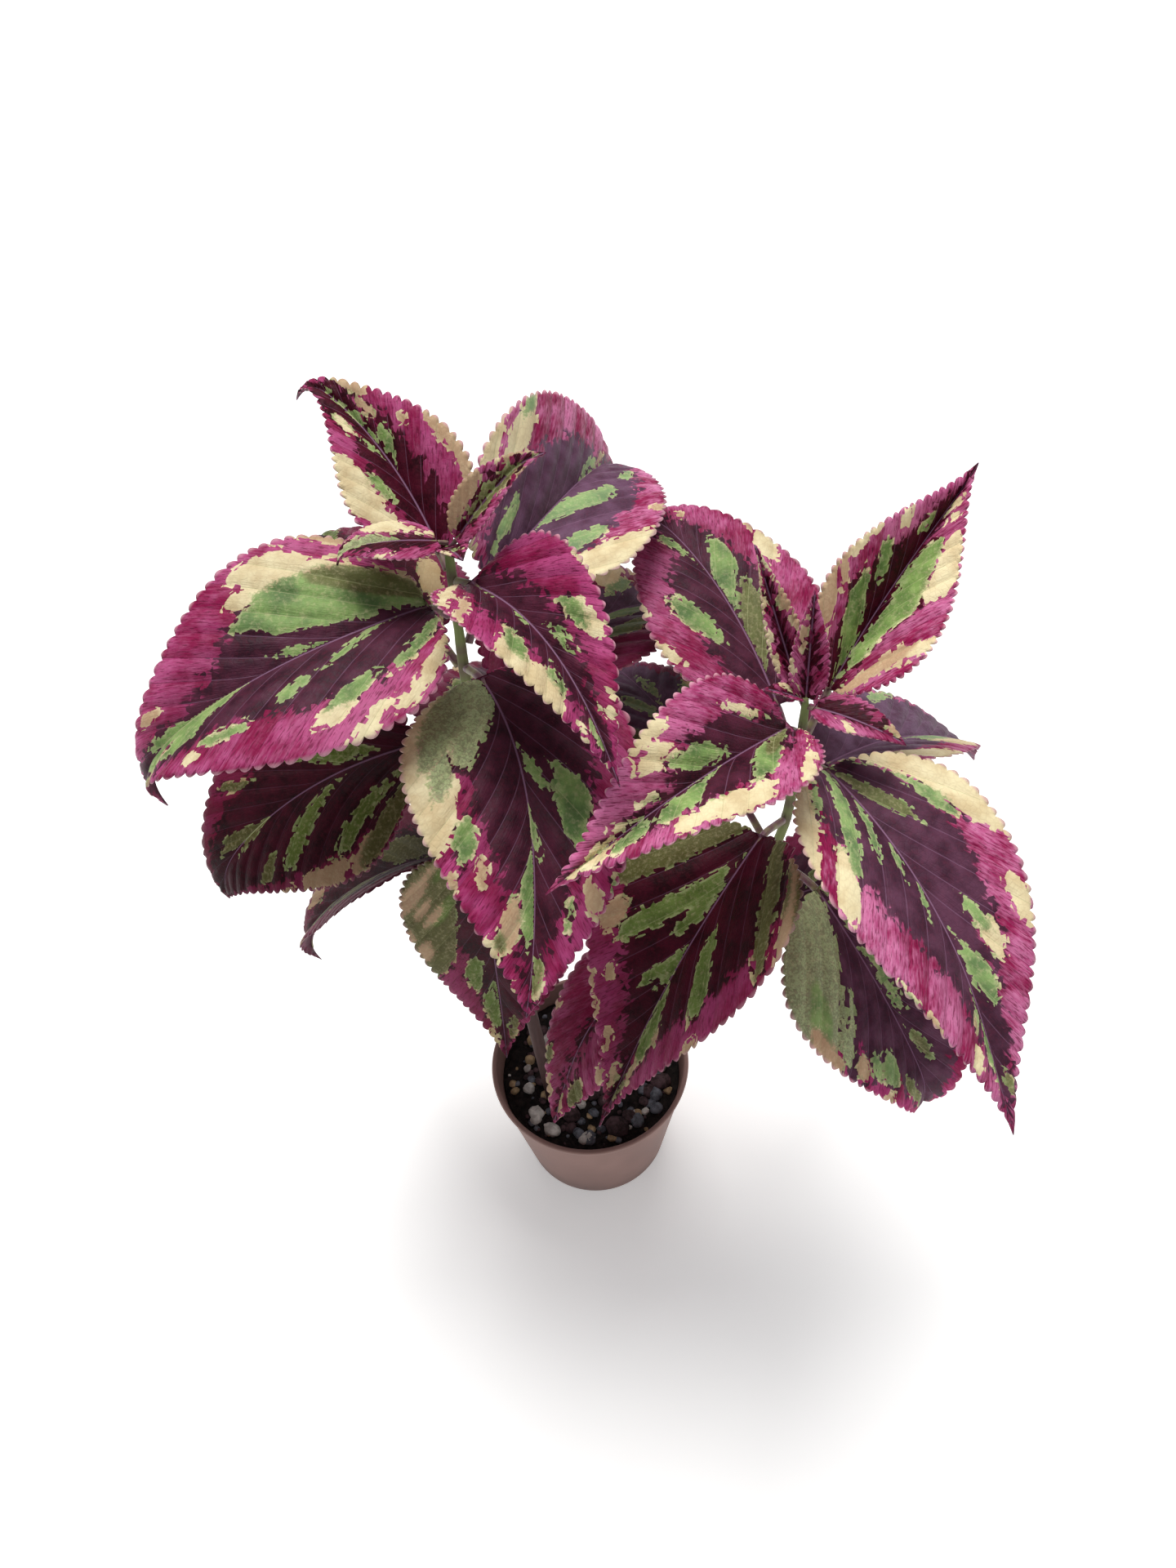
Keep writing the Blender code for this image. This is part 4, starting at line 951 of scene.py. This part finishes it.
def arc(radius, height, size, turns):
    """Points of a profile on a circle of this size, at turns in degrees."""
    turns = [math.radians(turn) for turn in turns]
    return [(radius + size * math.cos(turn), height + size * math.sin(turn)) for turn in turns]


def pot_profile():
    """Radius and height from the floor up the inside, over the rolled rim and down to the foot."""
    roll = (POT_WALL + RIM_PROUD) / 2
    inner = pot_inner_radius(POT_FLOOR) - POT_FILLET
    points = [(inner, POT_FLOOR)]
    points += arc(inner, POT_FLOOR + POT_FILLET, POT_FILLET, [-90 + 22.5 * step for step in range(5)])
    points += [(pot_inner_radius(height), height)
               for height in np.linspace(8 * MM, POT_HEIGHT - RIM_DEPTH, 14)]
    points += arc(POT_TOP_RADIUS - roll, POT_HEIGHT - roll, roll, range(180, -46, -15))
    points += [(pot_outer_radius(height), height)
               for height in np.linspace(POT_HEIGHT - RIM_DEPTH - 0.3 * MM, 3 * MM, 16)]
    return points + arc(pot_outer_radius(POT_FOOT) - POT_FOOT, POT_FOOT, POT_FOOT, range(-18, -91, -18))


def build_pot(material):
    profile = pot_profile()
    rows = len(profile)
    verts, faces = [], []
    for angle in angles(POT_STEPS):
        cos, sin = math.cos(angle), math.sin(angle)
        verts += [(radius * cos, radius * sin, height) for radius, height in profile]
    inner, outer = len(verts), len(verts) + 1
    verts += [(0.0, 0.0, POT_FLOOR), (0.0, 0.0, 0.0)]
    for step in range(POT_STEPS):
        a, b = step * rows, (step + 1) % POT_STEPS * rows
        for row in range(rows - 1):
            faces.append((a + row, a + row + 1, b + row + 1, b + row))
        faces.append((inner, a, b))
        faces.append((outer, b + rows - 1, a + rows - 1))
    pot = mesh_object("fine_pot", verts, faces, [material])
    bm = bmesh.new()
    for index in range(DRAIN_HOLES):
        angle = 2 * math.pi * (index + 0.5) / DRAIN_HOLES
        place = Matrix.Translation((DRAIN_CIRCLE * math.cos(angle), DRAIN_CIRCLE * math.sin(angle), 0.0))
        bmesh.ops.create_cone(bm, cap_ends=True, segments=40, radius1=DRAIN_RADIUS, radius2=DRAIN_RADIUS,
                              depth=4 * POT_FLOOR, matrix=place)
    drains = bpy.data.meshes.new("drains")
    bm.to_mesh(drains)
    bm.free()
    cutter = link(bpy.data.objects.new("drains", drains))
    cut = pot.modifiers.new("drains", "BOOLEAN")
    cut.object = cutter
    pot.data = bpy.data.meshes.new_from_object(pot.evaluated_get(bpy.context.evaluated_depsgraph_get()))
    pot.modifiers.clear()
    bpy.data.objects.remove(cutter)
    pot.data.set_sharp_from_angle(angle=math.radians(50))
    return pot


def soil_height(x, y):
    """Height of the soil's crumbly surface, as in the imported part."""
    radius = math.hypot(x, y) / pot_inner_radius(SOIL_TOP)
    rough = noise.noise(Vector((x, y, 0.0)) * 160.0)
    return SOIL_TOP + SOIL_CROWN * (1 - radius * radius) + SOIL_ROUGHNESS * rough * (1 - radius ** 6)


def crumbs(x, y):
    """Small lumps on top of the soil's height."""
    first = noise.noise(Vector((x, y, 0.01)) * 520.0)
    second = noise.noise(Vector((x, y, 0.03)) * 1300.0)
    return 0.75 * MM * first + 0.35 * MM * second


def build_soil(material):
    verts, faces = [], []
    circle = [(math.cos(angle), math.sin(angle)) for angle in angles(SOIL_STEPS)]
    edge = pot_inner_radius(SOIL_TOP) - 0.2 * MM
    for ring in range(1, SOIL_RINGS + 1):
        radius = edge * ring / SOIL_RINGS
        for cos, sin in circle:
            x, y = radius * cos, radius * sin
            verts.append((x, y, soil_height(x, y) + crumbs(x, y)))
    low = pot_inner_radius(SOIL_BOTTOM) - GAP
    verts += [(low * cos, low * sin, SOIL_BOTTOM) for cos, sin in circle]
    verts += [(0.0, 0.0, soil_height(0.0, 0.0) + crumbs(0.0, 0.0)), (0.0, 0.0, SOIL_BOTTOM)]
    top, bottom = len(verts) - 2, len(verts) - 1
    for step in range(SOIL_STEPS):
        after = (step + 1) % SOIL_STEPS
        faces.append((top, step, after))
        for ring in range(SOIL_RINGS):
            a, b = ring * SOIL_STEPS + step, ring * SOIL_STEPS + after
            faces.append((a, a + SOIL_STEPS, b + SOIL_STEPS, b))
        faces.append((bottom, SOIL_RINGS * SOIL_STEPS + after, SOIL_RINGS * SOIL_STEPS + step))
    return mesh_object("fine_soil", verts, faces, [material])


def icosphere(subdivisions):
    bm = bmesh.new()
    bmesh.ops.create_icosphere(bm, subdivisions=subdivisions, radius=1.0)
    verts = np.array([tuple(v.co) for v in bm.verts])
    faces = [tuple(v.index for v in face.verts) for face in bm.faces]
    bm.free()
    return verts, faces


def spot_within(draw, reach):
    """A random place on the soil, at most this far from its middle."""
    distance = reach * math.sqrt(draw.random())
    angle = draw.uniform(0.0, 2 * math.pi)
    return np.array((distance * math.cos(angle), distance * math.sin(angle)))


def build_grains(materials):
    """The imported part's grains, finer, with many small chips between them."""
    draw = random.Random(GRAIN_SEED)
    feet = [stem_centre(stem, SOIL_TOP)[:2] for stem in STEMS.values()]
    reach = pot_inner_radius(SOIL_TOP) - 1.5 * MM
    placed = []
    while len(placed) < GRAIN_COUNT:
        radius = draw.uniform(*GRAIN_RADIUS)
        spot = spot_within(draw, reach - radius * 1.2)
        near_stem = any(np.linalg.norm(spot - foot) < radius * 1.2 + 5 * MM for foot in feet)
        near_grain = any(np.linalg.norm(spot - other[0]) < 0.9 * (radius + other[1]) for other in placed)
        if near_stem or near_grain:
            continue
        placed.append((spot, radius))
        for _ in range(GRAIN_DRAWS):
            draw.random()
    chips = random.Random(CHIP_SEED)
    for count, small, large in CHIP_SIZES:
        for _ in range(count):
            radius = chips.uniform(small, large)
            placed.append((spot_within(chips, reach - radius), radius))
    fine, coarse = icosphere(3), icosphere(2)
    verts, faces, indices = [], [], []
    start = 0
    shape = random.Random(SHAPE_SEED)
    for number, (spot, radius) in enumerate(placed):
        ball, ball_faces, sunk, kinds = ((*fine, 0.12, GRAIN_KINDS) if number < GRAIN_COUNT
                                         else (*coarse, 0.3, CHIP_KINDS))
        offset = Vector([shape.uniform(0, 50) for _ in range(3)])
        rough = np.array([1 + 0.3 * noise.noise(Vector(v) * 1.1 + offset)
                          + 0.1 * noise.noise(Vector(v) * 3 + offset) for v in ball])
        squash = np.array((shape.uniform(0.75, 1.1), shape.uniform(0.75, 1.1), shape.uniform(0.6, 0.8)))
        turn = (Matrix.Rotation(shape.uniform(0, math.pi), 3, "Z")
                @ Matrix.Rotation(shape.uniform(-0.4, 0.4), 3, "X"))
        points = (ball * rough[:, None] * squash) @ np.array(turn).T * radius
        points += (spot[0], spot[1], soil_height(*spot) + sunk * radius)
        points[:, 2] = np.minimum(points[:, 2], POT_HEIGHT)
        verts.append(points)
        faces += [tuple(i + start for i in face) for face in ball_faces]
        pick = shape.random()
        kind = BARK if radius > BARK_RADIUS else sum(pick >= limit for limit in kinds)
        indices += [kind] * len(ball_faces)
        start += len(ball)
    return mesh_object("fine_grains", np.vstack(verts), faces, materials, indices)


# Stage

def build_camera():
    pitch, roll = math.radians(CAMERA_PITCH), math.radians(CAMERA_ROLL)
    forward = Vector((0.0, math.cos(pitch), -math.sin(pitch)))
    right = Vector((1.0, 0.0, 0.0))
    up = right.cross(forward)
    turned_right = right * math.cos(roll) + up * math.sin(roll)
    turned_up = up * math.cos(roll) - right * math.sin(roll)
    matrix = Matrix((turned_right, turned_up, -forward)).transposed().to_4x4()
    matrix.translation = CAMERA_PLACE
    data = bpy.data.cameras.new("camera")
    data.sensor_width = CAMERA_SENSOR
    data.sensor_fit = "AUTO"
    data.lens = CAMERA_LENS
    data.clip_start = 0.01
    camera = bpy.data.objects.new("camera", data)
    camera.matrix_world = matrix
    bpy.context.scene.camera = link(camera)


def build_stage():
    world = bpy.data.worlds.new("studio")
    world.use_nodes = True
    world.node_tree.nodes["Background"].inputs["Color"].default_value = SKY_COLOUR
    world.node_tree.nodes["Background"].inputs["Strength"].default_value = SKY_STRENGTH
    bpy.context.scene.world = world
    bpy.context.scene.view_settings.view_transform = "Standard"
    key = bpy.data.lights.new("key", "SUN")
    key.energy = KEY_STRENGTH
    key.angle = math.radians(KEY_ANGLE)
    key.color = KEY_COLOUR
    light = bpy.data.objects.new("key", key)
    light.rotation_euler = Vector(KEY_FROM).to_track_quat("Z", "Y").to_euler()
    link(light)
    corners = [(-FLOOR_HALF, -FLOOR_HALF), (FLOOR_HALF, -FLOOR_HALF), (FLOOR_HALF, FLOOR_HALF),
               (-FLOOR_HALF, FLOOR_HALF)]
    floor = mesh_object("floor", [(x, y, FLOOR_LEVEL) for x, y in corners], [(0, 1, 2, 3)],
                        [floor_material()])


def build_scene():
    blade, stalk, stem = leaf_material(), stalk_material(), stem_material()
    for index, leaf in enumerate(LEAVES):
        piece = build_leaf(leaf, index, False, [blade, stalk])
        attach(piece, "root")
        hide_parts(leaf.name)
    for index, leaf in enumerate(YOUNG_LEAVES):
        piece = build_leaf(leaf, YOUNG_INDEX + index, True, [blade, stalk])
        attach(piece, "root")
        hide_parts("stem_" + leaf.stem)
    for name in STEMS:
        piece = build_stem(name, stem)
        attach(piece, "root")
        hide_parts("stem_" + name)
    soil = build_soil(soil_material())
    grains = build_grains([grain_material(*row) for row in GRAIN_MATERIALS])
    for piece in (soil, grains):
        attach(piece, "root")
        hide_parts("soil")
    pot = build_pot(pot_material())
    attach(pot, "root")
    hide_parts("pot")
    build_camera()
    build_stage()


build_scene()
